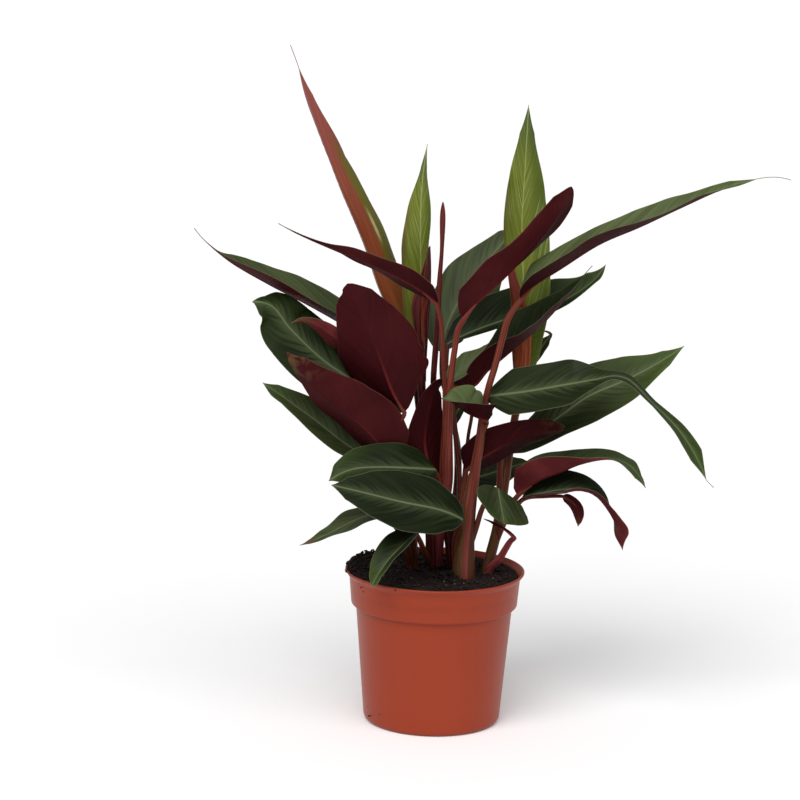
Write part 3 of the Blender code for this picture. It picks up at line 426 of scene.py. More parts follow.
# Each shoot's stalks: the leaf that each carries, which gives its last point, its radius there, and
# the points up from the soil as (x, y, z, radius).
SHOOTS = {
    "shoot_left": [
        ("leaf_maroon_large", 1.6, [(-14, 13, 88, 2.4), (-14, 13, 101, 2.4), (-17, 2, 136, 2.2),
            (-23, -4, 164, 2), (-27, -9, 189, 1.8), (-26, -13, 204, 1.6)]),
        ("leaf_maroon_low", 1.8, [(-15, 12, 88, 2.4), (-15, 12, 101, 2.4), (-19, 2, 136, 2.2),
            (-24, -4, 161, 2)]),
        ("leaf_left_low", 1.8, [(-17, 11, 88, 2.2), (-17, 10, 101, 2.2), (-23, 2, 132, 2),
            (-31, -1, 157, 1.8)]),
        ("leaf_left_green", 1.8, [(-15, 15, 88, 2.2), (-15, 15, 101, 2.2), (-17, 8, 134, 2),
            (-24, 3, 169, 1.8), (-29, 0, 197, 1.8)]),
        ("leaf_long_left", 1.6, [(-13, 16, 88, 2.2), (-13, 16, 101, 2.2), (-16, 12, 133, 2),
            (-24, 12, 174, 1.8), (-31, 16, 207, 1.8), (-41, 20, 230, 1.6)]),
        ("leaf_left_small", 1.4, [(-13, 12, 88, 2.2), (-13, 11, 101, 2.2), (-19, 3, 142, 2),
            (-27, -2, 184, 1.8), (-34, -5, 222, 1.6)]),
        ("leaf_thin_left", 1.5, [(-15, 12, 88, 2.2), (-15, 11, 101, 2.2), (-23, -12, 129, 1.9)]),
    ],
    "shoot_centre": [
        ("leaf_maroon_diagonal", 1.8, [(1, 18, 86, 3.5), (1, 17, 101, 3.5), (2, 10, 127, 3.7),
            (4, 4, 146, 4), (6, 0, 164, 4), (6, -3, 182, 3.7), (6, -5, 199, 3.2), (6, -6, 218, 2.8),
            (7, -7, 234, 2.2), (9, -8, 253, 2), (11, -8, 267, 2)]),
        ("leaf_maroon_long", 1.5, [(5, -3, 185, 2.5), (4, -6, 216, 2), (3, -7, 234, 1.5),
            (1, -10, 257, 1.5), (0, -11, 270, 1.5)]),
        ("leaf_front_upper", 1.8, [(3, 4, 146, 2.2), (2.5, -2, 160, 2)]),
        ("leaf_maroon_upright", 2.0, [(-2, 15, 86, 2.2), (-2, 15, 101, 2.2), (-1, 8, 128, 2)]),
        ("spear_leaf", 1.8, [(-4, 14, 86, 2.4), (-4, 13, 101, 2.4), (-5, 10, 127, 2.2), (-9, 10, 161, 2),
            (-12, 12, 195, 1.8), (-16, 14, 225, 1.8)]),
        ("young_leaf_left", 2.6, [(-2, 13, 86, 2.4), (-2, 12, 101, 2.4), (-3, 9, 127, 2.2), (-7, 8, 162, 2),
            (-10, 9, 196, 2.2), (-12, 11, 226, 2.8)]),
        ("leaf_over_rim", 1.6, [(-3, 12, 86, 2.2), (-3, 12, 101, 2.2), (-8, -12, 119, 1.9)]),
    ],
    "shoot_back": [
        ("rolled_leaf", 1.6, [(10, 16, 86, 2), (10, 16, 101, 2), (7, 16, 126, 2), (2, 14, 161, 2),
            (-1, 14, 195, 2), (-4, 11, 226, 2), (-4, 8, 237, 2), (-3, 5, 257, 2)]),
        ("leaf_back_sheen", 1.5, [(13, 18, 86, 2), (13, 17, 101, 2), (14, 14, 133, 2), (15, 17, 162, 1.6),
            (14, 22, 183, 1.4), (10, 28, 199, 1.4), (6, 36, 211, 1.4), (2, 46, 224, 1.4)]),
        ("leaf_back_dark", 1.5, [(12, 20, 86, 2), (11, 20, 101, 2), (11, 18, 132, 2), (13, 20, 161, 1.6),
            (12, 24, 186, 1.5), (9, 30, 202, 1.5), (5, 39, 226, 1.5)]),
        ("leaf_folded_right", 1.7, [(15, 13, 86, 2.2), (15, 13, 101, 2.2), (16, 9, 131, 2),
            (15, 10, 163, 1.7), (12, 10, 189, 1.7), (9, 11, 213, 1.7)]),
        ("leaf_small_centre", 1.1, [(16, 15, 86, 2), (16, 14, 101, 2), (17, 12, 134, 2), (18, 11, 163, 1.4),
            (20, 10, 192, 1.2), (22, 11, 208, 1.2)]),
        ("leaf_back_low", 1.6, [(17, 19, 86, 2), (17, 19, 101, 2), (19, 28, 123, 1.8)]),
        ("leaf_small_sheen", 1.4, [(13, 18, 150, 1.6), (13, 19, 165, 1.6), (13, 21, 184, 1.5),
            (9, 24, 210, 1.4)]),
    ],
    "shoot_front": [
        ("leaf_long_right", 1.7, [(19, -10, 86, 7), (19, -11, 101, 7), (19, -8, 122, 6), (21, -6, 142, 4.4),
            (24, -6, 167, 3.6), (27, -7, 193, 2.7), (29, -8, 214, 2.2), (32, -9, 229, 2.2),
            (36, -9, 244, 2.2), (40, -7, 261, 2.2), (44, -4, 275, 2.2)]),
        ("leaf_front_lower", 1.9, [(14, -10, 108, 2.4), (12.5, -13, 125, 2.1)]),
        ("leaf_bent_centre", 1.2, [(24, -6, 167, 2.4), (25.5, -7, 184, 1.6), (29, -7.5, 197, 1.4)]),
        ("leaf_hanging_tip", 2.0, [(25, -6, 174, 2.4), (28, -7, 190, 2.2), (29, -7, 207, 2.1)]),
        ("leaf_maroon_right", 1.8, [(19, -5, 125, 3), (18, 0, 147, 2.2)]),
        ("leaf_front_round", 1.6, [(20, -9, 115, 2.5), (26, -7, 132, 2), (31, -8, 149, 1.7)]),
    ],
    "shoot_right": [
        ("young_leaf_right", 2.6, [(35, 5, 86, 3.5), (35, 6, 101, 3.5), (41, 12, 128, 3.5),
            (45, 20, 154, 3.3), (48, 28, 175, 3), (52, 33, 203, 2.6)]),
        ("leaf_right_back", 1.8, [(41, 11, 126, 3), (42, 15, 155, 2.2)]),
        ("leaf_twisted_right", 1.8, [(41, 10, 124, 2.4), (47, 4, 143, 2)]),
        ("leaf_drooping_right", 1.6, [(41, 10, 122, 2.4), (49, 6, 141, 2)]),
        ("leaf_small_hanging", 1.2, [(41, 12, 124, 2.4), (50, 9, 141, 1.6), (59, 10, 150, 1.3),
            (73, 10, 152, 1.2)]),
        ("leaf_narrow_dark", 1.2, [(36, 3, 86, 2.6), (36, 3, 101, 2.6), (43, -3, 112, 2.4),
            (50, -9, 126, 1.9)]),
        ("leaf_small_back", 1.3, [(45, 20, 150, 2), (48, 30, 179, 1.5), (56, 39, 212, 1.5)]),
    ],
}

# The leaf that is still rolled into a thin spike: (x, y, z, radius) up to its tip.
ROLLED_LEAF = [
    (-2.4, 2.6, 275, 1.8), (-2, 0, 298, 1.6), (-1, 0, 318, 1.3), (-1, -1, 341, 1.8), (-1, -2, 350, 0.4),
]

# The outer wrap round a young leaf's foot, between its free edge and its other edge, and how far in
# mm it bulges to the front
WRAPS = {
    "young_leaf_left": (
        [(-9.5, 5, 319), (-13, 4, 306), (-17.5, 3, 292), (-19.7, 4, 280), (-18, 6, 267), (-15, 8, 254),
            (-13, 9, 242)],
        [(-8.5, 7, 320), (-7.5, 8, 304), (-7.5, 8, 288), (-8, 9, 272), (-8.5, 10, 256), (-9, 11, 240),
            (-9, 11, 228)],
        1.5,
    ),
    "young_leaf_right": (
        [(46, 31, 311), (49, 31, 299), (54, 30, 286), (60, 30, 268), (61, 31, 248), (60, 33, 232)],
        [(43, 32, 310), (44, 31, 298), (46, 31, 285), (47, 31, 268), (48, 31, 250), (50, 33, 230)],
        2.0,
    ),
}

# How each stalk looks, from 0 to 1: how dark red, partly its own colour and partly painted shade
# on stalks that stand in the leaves' shade, how olive, and how high its sheath reaches.
PLAIN_STALK = (0.45, 0.2, 0.3)
STALK_LOOKS = {
    "leaf_maroon_diagonal": (0.05, 0.1, 0.55),
    "leaf_maroon_long": (0.3, 0.1, 0.0),
    "leaf_long_right": (0.12, 0.14, 0.5),
    "young_leaf_right": (0.25, 0.4, 0.4),
    "leaf_narrow_dark": (0.25, 0.0, 0.2),
    "rolled_leaf": (0.75, 0.0, 0.3),
    "young_leaf_left": (0.8, 0.1, 0.3),
    "spear_leaf": (0.7, 0.2, 0.3),
    "leaf_bent_centre": (0.2, 0.3, 0.2),
    "leaf_hanging_tip": (0.3, 0.5, 0.3),
    "leaf_front_lower": (0.7, 0.2, 0.2),
}

# Strips of sheath wrapped round the stalks: the stalk's leaf, the turns in degrees between which the
# strip lies at its foot (0 is to the right and 270 to the front), its top in mm above the ground,
# how thick it stands off the stalk in mm, and how dark and how olive it is, from 0 to 1; the
# darkness is partly painted shade on the stalks' shaded sides
SHEATHS = (
    ("leaf_long_right", 150, 250, 172, 0.9, 0.5, 1.0),
    ("leaf_long_right", 285, 400, 158, 0.8, 0.6, 1.0),
    ("leaf_long_right", 235, 262, 150, 0.5, 0.0, 0.9),
    ("leaf_maroon_diagonal", 120, 232, 226, 1.5, 0.6, 0.3),
    ("leaf_maroon_diagonal", 285, 370, 196, 0.7, 0.5, 0.0),
    ("young_leaf_right", 200, 300, 178, 0.7, 0.2, 0.7),
    ("leaf_narrow_dark", 180, 300, 112, 0.5, 0.4, 0.0),
)

# Curves and cross-sections


def unit(rows):
    return rows / np.linalg.norm(rows, axis=-1, keepdims=True)


def distance_along(points):
    return np.concatenate([[0], np.cumsum(np.linalg.norm(np.diff(points[:, :3], axis=0), axis=1))])


def curve_through(knots, values, slopes, at):
    """The rows of a smooth curve through the values at the knots, with the slopes given there."""
    i = np.clip(np.searchsorted(knots, at, side="right") - 1, 0, len(knots) - 2)
    span = (knots[i + 1] - knots[i])[:, None]
    x = (at - knots[i])[:, None] / span
    return (
        (2 * x**3 - 3 * x**2 + 1) * values[i]
        + (x**3 - 2 * x**2 + x) * span * slopes[i]
        + (3 * x**2 - 2 * x**3) * values[i + 1]
        + (x**3 - x**2) * span * slopes[i + 1]
    )


def smooth_curve(points, count):
    """Points at equal steps along a rounded curve through the control points; any columns past the
    third, such as a radius, follow along."""
    p = np.asarray(points, float)
    knots = distance_along(p)
    slopes = np.empty_like(p)
    slopes[1:-1] = (p[2:] - p[:-2]) / (knots[2:] - knots[:-2])[:, None]
    slopes[0] = (p[1] - p[0]) / knots[1]
    slopes[-1] = (p[-1] - p[-2]) / (knots[-1] - knots[-2])
    if len(p) > 2:
        slopes[0] = 2 * slopes[0] - slopes[1]
        slopes[-1] = 2 * slopes[-1] - slopes[-2]
    fine = curve_through(knots, p, slopes, np.linspace(0, knots[-1], CURVE_POINTS))
    length = distance_along(fine)
    steps = np.linspace(0, length[-1], count)
    return np.stack([np.interp(steps, length, column) for column in fine.T], axis=1)


def half_widths(u, widths, blunt):
    """The blade's half width at each u: a rounded curve through the five stations, closing like a
    spoon at the stalk and to a point, or roundly, at the tip."""
    knots = np.array((0.0,) + WIDTH_STATIONS + (1.0,))
    values = np.array((widths[0] * FOOT_WIDTH,) + tuple(widths) + (widths[-1] * TIP_WIDTH,))
    rise = np.diff(values) / np.diff(knots)
    slopes = np.zeros(len(knots))
    slopes[0], slopes[-1] = rise[0], rise[-1]
    for k in range(1, len(knots) - 1):
        if rise[k - 1] * rise[k] > 0:
            slopes[k] = 2 / (1 / rise[k - 1] + 1 / rise[k])
    curve = curve_through(knots, values[:, None], slopes[:, None], u)[:, 0]
    root = np.clip(u / FOOT_SHARE, 0, 1) ** FOOT_POWER
    tip = np.clip((1 - u) / TIP_SHARE, 0, 1) ** (BLUNT_TIP_POWER if blunt else TIP_POWER)
    return curve * root * tip


def half_section(across, fold, curl):
    """(out, up) of a point on a half of unit width, for a fold at the rib and a curl to the edge."""
    bend = np.where(np.abs(curl) < 1e-3, 1e-3, curl)
    out = (np.sin(fold + bend * across) - np.sin(fold)) / bend
    up = (np.cos(fold) - np.cos(fold + bend * across)) / bend
    return out, up


def leaf_number(name):
    return sorted(LEAVES).index(name) + 1


def ripple(name, side, distance):
    """A slow random wave along one margin, between -1 and 1, the same each run."""
    start = 7.0 * leaf_number(name) + 3.0 * side
    return np.array([noise.noise(Vector((d * RIPPLES_PER_MM, start, 0.5))) for d in distance])[:, None] * 2


class Blade:
    """The lofted middle surface of a leaf, in mm: rows from stalk to tip, columns from the right
    margin to the left one."""

    def __init__(self, name):
        spec = LEAVES[name]
        length = distance_along(smooth_curve(spec["rib"], RIB_POINTS))[-1]
        rows = max(LEAST_ROWS, round(length / ROW_STEP))
        centre = smooth_curve(spec["rib"], rows + 1)
        if "thread" in spec:
            tail = smooth_curve([tuple(centre[-1])] + spec["thread"], THREAD_ROWS + 1)[1:]
            centre = np.vstack([centre, tail])
        self.u = np.concatenate([np.linspace(0, 1, rows + 1), np.ones(len(centre) - rows - 1)])
        self.centre = centre
        self.forward = unit(np.gradient(centre, axis=0))
        faces = np.array(spec["faces"] * 2 if len(spec["faces"]) == 1 else spec["faces"], float)
        stations = np.linspace(0, 1, len(faces))
        facing = np.stack([np.interp(self.u, stations, column) for column in faces.T], axis=1)
        self.above = unit(facing - np.sum(facing * self.forward, axis=1, keepdims=True) * self.forward)
        self.rightward = np.cross(self.forward, self.above)
        narrow = np.where(self.u < 0.5, LEAST_HALF_WIDTH, THREAD_HALF_WIDTH)
        self.width = np.maximum(half_widths(self.u, spec["widths"], spec.get("blunt", False)), narrow)
        self.v = np.linspace(1, -1, ACROSS + 1)
        self.along = distance_along(centre)
        self.points = self.surface(name, spec)

    def surface(self, name, spec):
        u, v, width = self.u[:, None], self.v[None, :], self.width[:, None]
        flatten = np.minimum(1, width / (ROLL_BELOW if spec.get("kind") else FLAT_BELOW))
        fold, curl = self.angles(spec, u, v, flatten)
        out, up = half_section(np.abs(v), fold, curl)
        for side, place, length, depth in spec.get("nicks", ()):
            cut = 1 - depth * np.exp(-(((u - place) / length) ** 2)) * (v * side > 0)
            out, up = out * cut, up * cut
        wave = EDGE_WAVE * v * v * np.sin(2 * math.pi * EDGE_WAVES * u + 2 * v)
        margins = np.where(v > 0, ripple(name, 0, self.along), ripple(name, 1, self.along))
        wave = wave + EDGE_RIPPLE * v**4 * margins
        lift = up * width + wave * np.minimum(1, width / WAVE_FULL_WIDTH)
        shift = out * width * np.sign(v)
        sideways = self.rightward[:, None, :] * shift[:, :, None]
        return self.centre[:, None, :] + sideways + self.above[:, None, :] * lift[:, :, None]

    def angles(self, spec, u, v, flatten):
        """The fold and curl, in radians, of the half that each point is on."""
        made = []
        for part in (0, 1):
            halves = []
            for side in ("left", "right"):
                start = spec.get(side, PLAIN_FOLD)
                end = spec.get(side + "_tip", start)
                halves.append(np.radians(start[part] + (end[part] - start[part]) * u) * flatten)
            made.append(np.where(v >= 0, halves[1], halves[0]))
        return made

    def normals(self):
        down_rows = np.gradient(self.points, axis=0)
        along_columns = np.gradient(self.points, axis=1)
        return unit(np.cross(down_rows, along_columns) + self.above[:, None, :] * 1e-9)


# Meshes


def new_object(name, data):
    obj = bpy.data.objects.new(name, data)
    bpy.context.scene.collection.objects.link(obj)
    return obj


def add_piece(name, mesh, slot, *materials, replaces=()):
    obj = new_object(name, mesh)
    for material in materials:
        mesh.materials.append(material)
    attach(obj, "root")
    if replaces:
        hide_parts(*replaces)


def plain_mesh(name, points, faces):
    mesh = bpy.data.meshes.new(name)
    mesh.from_pydata((np.asarray(points) * MM).tolist(), [], faces)
    return mesh


def new_mesh(name, points, faces, slots=None, uvs=None, tone=None):
    """A smooth mesh from arrays in mm, with its UV maps and its tone given for each point."""
    mesh = plain_mesh(name, points, faces)
    corners = np.empty(len(mesh.loops), np.int64)
    mesh.loops.foreach_get("vertex_index", corners)
    for layer_name, values in (uvs or {}).items():
        layer = mesh.uv_layers.new(name=layer_name)
        layer.data.foreach_set("uv", np.asarray(values, np.float32)[corners].ravel())
    if tone is not None:
        layer = mesh.color_attributes.new(name="tone", type="FLOAT_COLOR", domain="POINT")
        layer.data.foreach_set("color", np.asarray(tone, np.float32).ravel())
    if slots is not None:
        mesh.polygons.foreach_set("material_index", slots)
    mesh.shade_smooth()
    return mesh


def sheet_faces(rows, columns):
    """Faces of a closed thin sheet: the upper grid, the lower grid and the rim round them."""
    index = np.arange(rows * columns).reshape(rows, columns)
    a, b = index[:-1, :-1].ravel(), index[1:, :-1].ravel()
    c, d = index[1:, 1:].ravel(), index[:-1, 1:].ravel()
    under = rows * columns
    upper = np.stack([a, b, c, d], axis=1)
    lower = np.stack([d, c, b, a], axis=1) + under
    loop = np.concatenate([index[0, :], index[1:, -1], index[-1, -2::-1], index[-2:0:-1, 0]])
    after = np.roll(loop, -1)
    rim = np.stack([loop, after, after + under, loop + under], axis=1)
    slots = [0] * len(upper) + [1] * len(lower) + [0] * len(rim)
    return np.concatenate([upper, lower, rim]).tolist(), slots


def sheet_maps(along, across, share, margin):
    """UV maps for both sides of a sheet: "run" holds how far along it and across it a point lies,
    and "edge" its share of the length and how far in from the margin it is."""
    maps = {"run": (along / RUN_UNIT, across / RUN_UNIT + 0.5), "edge": (share, margin / EDGE_UNIT)}
    for name, values in maps.items():
        one_side = np.stack(np.broadcast_arrays(*values), axis=2).reshape(-1, 2)
        maps[name] = np.tile(one_side, (2, 1))
    return maps


def ring_faces(rings, sides, first=0):
    """Faces between rings of points, with the numbers of the points and of the next ones round."""
    index = np.arange(rings * sides).reshape(rings, sides) + first
    after = np.roll(index, -1, axis=1)
    quads = np.stack([index[:-1], after[:-1], after[1:], index[1:]], axis=2).reshape(-1, 4)
    return quads.tolist(), index.tolist(), after.tolist()


def closed_body(rings, low, high):
    """Points and faces of rings of points, closed at each end by a fan to one more point."""
    points = [point for ring in rings for point in ring]
    faces, index, after = ring_faces(len(rings), len(rings[0]))
    faces += [(len(points), following, here) for here, following in zip(index[0], after[0])]
    faces += [(len(points) + 1, here, following) for here, following in zip(index[-1], after[-1])]
    return points + [low, high], faces


# Leaves and stalks


def leaf_sides(blade):
    """A leaf's upper and lower points: thicker towards the rib and quilted between the side veins,
    with a groove along the rib above and a ridge below."""
    width = blade.width[:, None]
    across = np.abs(blade.v)[None, :]
    off_rib = across * width
    thick = BLADE_MARGIN + (BLADE_RIB - BLADE_MARGIN) * (1 - across**2)
    vein = blade.along[:, None] - off_rib * (VEIN_LEAN + VEIN_CURVE * across)
    quilt = QUILT * np.sin(2 * math.pi * vein / QUILT_STEP) * np.sin(math.pi * across) ** QUILT_POWER
    quilt = quilt * np.minimum(1, width / QUILT_FULL_WIDTH)
    rib_size = np.clip(1.0 - RIB_TAPER * blade.u[:, None], RIB_LEAST, 1)
    rib_size = rib_size * np.minimum(1, width / RIB_FULL_WIDTH)
    groove = GROOVE_DEPTH * rib_size * np.exp(-((off_rib / GROOVE_HALF_WIDTH) ** 2))
    ridge = RIDGE_HEIGHT * rib_size * np.exp(-((off_rib / RIDGE_HALF_WIDTH) ** 2))
    normal = blade.normals()
    upper = blade.points + normal * (thick / 2 + quilt - groove)[:, :, None]
    lower = blade.points - normal * (thick / 2 - quilt + ridge)[:, :, None]
    return upper.reshape(-1, 3), lower.reshape(-1, 3)


def make_leaf(name, materials, slot):
    spec = LEAVES[name]
    blade = Blade(name)
    upper, lower = leaf_sides(blade)
    points = np.concatenate([upper, lower])
    faces, slots = sheet_faces(*blade.points.shape[:2])
    off_rib = blade.width[:, None] * blade.v[None, :]
    along = blade.along[:, None] + leaf_number(name) * RUN_UNIT
    maps = sheet_maps(along, off_rib, blade.u[:, None], blade.width[:, None] - np.abs(off_rib))
    tone = np.tile(np.array(spec.get("look", PLAIN_LOOK), float), (len(points), 1))
    tone[len(upper) :, 0] = spec.get("light_below", tone[0, 0])
    mesh = new_mesh(name + "_fine", points, faces, slots, maps, tone)
    add_piece(name + "_blade", mesh, slot, *materials, replaces=(name,))


def thin_sheet(grid, thick):
    """Points and faces of a closed sheet round a grid of points."""
    normal = unit(np.cross(np.gradient(grid, axis=0), np.gradient(grid, axis=1)))
    sides = [(grid + normal * off).reshape(-1, 3) for off in (thick / 2, -thick / 2)]
    return np.concatenate(sides), sheet_faces(*grid.shape[:2])[0]


def make_wrap(name, material):
    """A thin strip rolled over the front of a young leaf's foot, with a slanting free edge."""
    free, hidden, bulge = WRAPS[name]
    free, hidden = smooth_curve(free, WRAP_ROWS), smooth_curve(hidden, WRAP_ROWS)
    share = np.linspace(0, 1, WRAP_ACROSS)[None, :]
    grid = free[:, None, :] * (1 - share[:, :, None]) + hidden[:, None, :] * share[:, :, None]
    width = np.linalg.norm(free - hidden, axis=1)[:, None]
    grid[:, :, 1] -= bulge * np.sin(math.pi * share) * np.minimum(1, width / WRAP_FULL_WIDTH)
    points, faces = thin_sheet(grid, BLADE_MARGIN)
    along = distance_along(hidden)[:, None]
    maps = sheet_maps(along, share * width, 1 - along / along.max(), share * width)
    tone = np.tile(np.array(PLAIN_LOOK, float), (len(points), 1))
    mesh = new_mesh(name + "_wrap", points, faces, None, maps, tone)
    add_piece(name + "_wrap", mesh, "young_leaves", material)


def stalk_line(leaf_name, top_radius, points):
    """A stalk's control points, with its end laid against the back of its leaf's rib."""
    if leaf_name == "rolled_leaf":
        return points + [ROLLED_LEAF[0][:3] + (top_radius,)]
    blade = Blade(leaf_name)
    end = []
    for distance, share in STALK_END:
        row = int(np.argmin(np.abs(blade.along - distance)))
        radius = top_radius * share
        end.append((*(blade.centre[row] - blade.above[row] * (radius + STALK_CLEAR)), radius))
    return points + end


def tube_rings(line, count, sides, sheath):
    """Rings of points round a stalk. Up to the sheath's height its outline is a wrap whose free edge
    stands a little proud, as a leaf sheath's does."""
    path = smooth_curve(line, count)
    centre, radius = path[:, :3], path[:, 3]
    forward = unit(np.gradient(centre, axis=0))
    side = np.array([1.0, 0.0, 0.0])
    turn = np.linspace(0, 2 * math.pi, sides, endpoint=False)
    angle = (turn + STALK_TURN)[:, None]
    share = turn / (2 * math.pi)
    along = distance_along(centre)
    rings = []
    for i in range(count):
        side = unit(side - forward[i] * float(side @ forward[i]))
        other = np.cross(forward[i], side)
        lap = (share - 0.5) * LAP * np.clip((sheath - along[i] / along[-1]) / LAP_FADE, 0, 1)
        reach = radius[i] * (1 + lap + STALK_RIB_DEPTH * np.cos(STALK_RIBS * turn))
        rings.append(centre[i] + (side * np.cos(angle) + other * np.sin(angle)) * reach[:, None])
    return np.array(rings), along, share


def tube_faces(rows, sides, first=0):
    quads, index, _ = ring_faces(rows, sides, first)
    return quads + [index[0][::-1], index[-1]]


def sheath_strip(line, start, end, top, thick):
    """A strip of sheath on a stalk: a grid of points that narrows to a point at its top, how far
    along the stalk each row is, and each column's share of the way round."""
    path = smooth_curve(line, SHEATH_ROWS * 3)
    along = distance_along(path)
    inside = path[:, 2] <= top
    path, along = path[inside], along[inside]
    forward = unit(np.gradient(path[:, :3], axis=0))
    other = unit(np.cross(forward, (1.0, 0.0, 0.0)))
    side = np.cross(other, forward)
    left = np.clip((top - path[:, 2]) / (top - path[0, 2]), 0, 1)[:, None] ** SHEATH_TAPER
    share = np.linspace(-0.5, 0.5, SHEATH_ACROSS)[None, :]
    turn = np.radians((start + end) / 2 + (end - start) * share * left)
    reach = path[:, 3][:, None] * SHEATH_CLEAR + thick * left * (1 - 0.5 * np.abs(share * 2) ** 3)
    shift = side[:, None, :] * np.cos(turn)[:, :, None] + other[:, None, :] * np.sin(turn)[:, :, None]
    return path[:, None, :3] + shift * reach[:, :, None], along, turn / math.tau


def stalk_run(along, turns, number):
    """Where each point lies for the "run" map: along its own stalk or strip and round it."""
    return [(far / RUN_UNIT + number, turn) for far, row in zip(along, turns) for turn in row]


def stalk_tone(dark, olive, heights):
    return [(dark, olive, share, 1.0) for share in np.clip((heights - TONE_FROM_Z) / TONE_SPAN, 0, 1)]


def make_stalks(name, stalks, material):
    points, faces, run, tone = [], [], [], []
    for index, (leaf_name, top_radius, line) in enumerate(stalks):
        line = stalk_line(leaf_name, top_radius, line)
        dark, olive, sheath = STALK_LOOKS.get(leaf_name, PLAIN_STALK)
        length = distance_along(smooth_curve(line, STALK_POINTS))[-1]
        count = max(LEAST_STALK_ROWS, round(length / STALK_STEP))
        rings, along, share = tube_rings(line, count, STALK_SIDES, sheath)
        faces += tube_faces(count, STALK_SIDES, len(points))
        points += rings.reshape(-1, 3).tolist()
        run += stalk_run(along, [share] * count, index + 1)
        tone += stalk_tone(dark, olive, np.repeat(rings[:, :, 2].mean(axis=1), STALK_SIDES))
        for number, (owner, start, end, top, thick, dark, olive) in enumerate(SHEATHS, SHEATH_RUN):
            if owner == leaf_name:
                grid, along, turns = sheath_strip(line, start, end, top, thick)
                strip, strip_faces = thin_sheet(grid, SHEATH_THICK)
                faces += [[corner + len(points) for corner in face] for face in strip_faces]
                points += strip.tolist()
                run += 2 * stalk_run(along, turns, number)
                tone += 2 * stalk_tone(dark, olive, grid[:, :, 2].ravel())
    mesh = new_mesh(name + "_fine", points, faces, None, {"run": run}, tone)
    add_piece(name + "_stalks", mesh, "stalks", material, replaces=(name,))


def make_rolled_leaf(material):
    rings, along, share = tube_rings(ROLLED_LEAF, ROLLED_ROWS, ROLLED_SIDES, ROLLED_SHEATH)
    run = stalk_run(along, [share] * ROLLED_ROWS, 0)
    faces = tube_faces(ROLLED_ROWS, ROLLED_SIDES)
    tone = [ROLLED_TONE] * len(run)
    mesh = new_mesh("rolled_leaf_fine", rings.reshape(-1, 3), faces, None, {"run": run}, tone)
    add_piece("rolled_leaf_spike", mesh, "spear", material, replaces=("rolled_leaf",))


# Pot and soil


def turned(radius, turn, z):
    return radius * math.cos(turn), radius * math.sin(turn), z


def round_turns(steps):
    return np.linspace(0, 2 * math.pi, steps, endpoint=False)


def rounded(profile, radius, steps=4):
    """The profile with each inner corner replaced by a short curve, no longer than its sides allow."""
    p = [np.array(point, float) for point in profile]
    made = [tuple(p[0])]
    for before, corner, after in zip(p, p[1:], p[2:]):
        reach = min([radius] + [np.linalg.norm(other - corner) * 0.45 for other in (before, after)])
        start = corner + unit(before - corner) * reach
        end = corner + unit(after - corner) * reach
        for t in np.linspace(0, 1, steps + 1):
            made.append(tuple((1 - t) ** 2 * start + 2 * t * (1 - t) * corner + t * t * end))
    return made + [tuple(p[-1])]


def pot_profile():
    """Up the inside from the middle of the floor, over the lip and down the outside."""
    inner = [
        (0, POT_FLOOR),
        (BODY_FOOT_R - POT_WALL - 2.2, POT_FLOOR),
        (BODY_FOOT_R - POT_WALL, POT_FLOOR + 2.2),
        (BODY_TOP_R - POT_WALL, COLLAR_FOOT_Z + 0.8),
        (COLLAR_FOOT_R - POT_WALL, COLLAR_FOOT_Z + 2.2),
        (COLLAR_TOP_R - POT_WALL, POT_H - LIP_H),
    ]
    lip = [
        (POT_RIM_R - 1.6, POT_H - 0.4),
        (POT_RIM_R - 1.1, POT_H),
        (POT_RIM_R - 0.4, POT_H),
        (POT_RIM_R, POT_H - 0.4),
        (POT_RIM_R, POT_H - 1.2),
    ]
    outer = [
        (COLLAR_TOP_R + 0.2, POT_H - LIP_H - 0.4),
        (COLLAR_FOOT_R, COLLAR_FOOT_Z + 0.6),
        (COLLAR_FOOT_R - 0.6, COLLAR_FOOT_Z),
        (BODY_TOP_R, COLLAR_FOOT_Z - 0.5),
        (BODY_FOOT_R, 3.2),
        (BODY_FOOT_R - 0.7, 1.1),
        (BODY_FOOT_R - 2.4, 0),
        (0, 0),
    ]
    return inner + lip + outer


def drain_hole(index):
    """A short cylinder through the pot's floor."""
    name = f"drain_hole_{index}"
    middle = Vector(turned(DRAIN_RING_R, math.tau * index / DRAIN_HOLES, POT_FLOOR / 2)) * MM
    radius = DRAIN_R * MM
    mesh = bpy.data.meshes.new(name)
    shape = bmesh.new()
    bmesh.ops.create_cone(
        shape,
        cap_ends=True,
        segments=DRAIN_SIDES,
        radius1=radius,
        radius2=radius,
        depth=(POT_FLOOR + 2 * DRAIN_OVERRUN) * MM,
        matrix=Matrix.Translation(middle),
    )
    shape.to_mesh(mesh)
    shape.free()
    return bpy.data.objects.new(name, mesh)


def cut_drain_holes(pot):
    """The pot's mesh with its drain holes cut; the uncut object and the cutters are removed."""
    holes = bpy.data.collections.new("drain_holes")
    for index in range(DRAIN_HOLES):
        holes.objects.link(drain_hole(index))
    cut = pot.modifiers.new("Drain holes", "BOOLEAN")
    cut.operation = "DIFFERENCE"
    cut.operand_type = "COLLECTION"
    cut.collection = holes
    cut.solver = "EXACT"
    bpy.context.view_layer.update()
    graph = bpy.context.evaluated_depsgraph_get()
    mesh = bpy.data.meshes.new_from_object(pot.evaluated_get(graph))
    for helper in [pot, *holes.objects]:
        bpy.data.objects.remove(helper)
    bpy.data.collections.remove(holes)
    return mesh


def make_pot(material):
    profile = rounded(pot_profile(), POT_ROUNDING)
    rings = [[turned(r, t, z) for t in round_turns(POT_STEPS)] for r, z in profile[1:-1]]
    points, faces = closed_body(rings, (0, 0, profile[0][1]), (0, 0, profile[-1][1]))
    whole = new_mesh("pot_moulded", points, [face[::-1] for face in faces])
    mesh = cut_drain_holes(new_object("pot_moulded", whole))
    mesh.set_sharp_from_angle(angle=SHARP_ANGLE)
    add_piece("pot_moulded", mesh, "pot", material, replaces=("pot",))


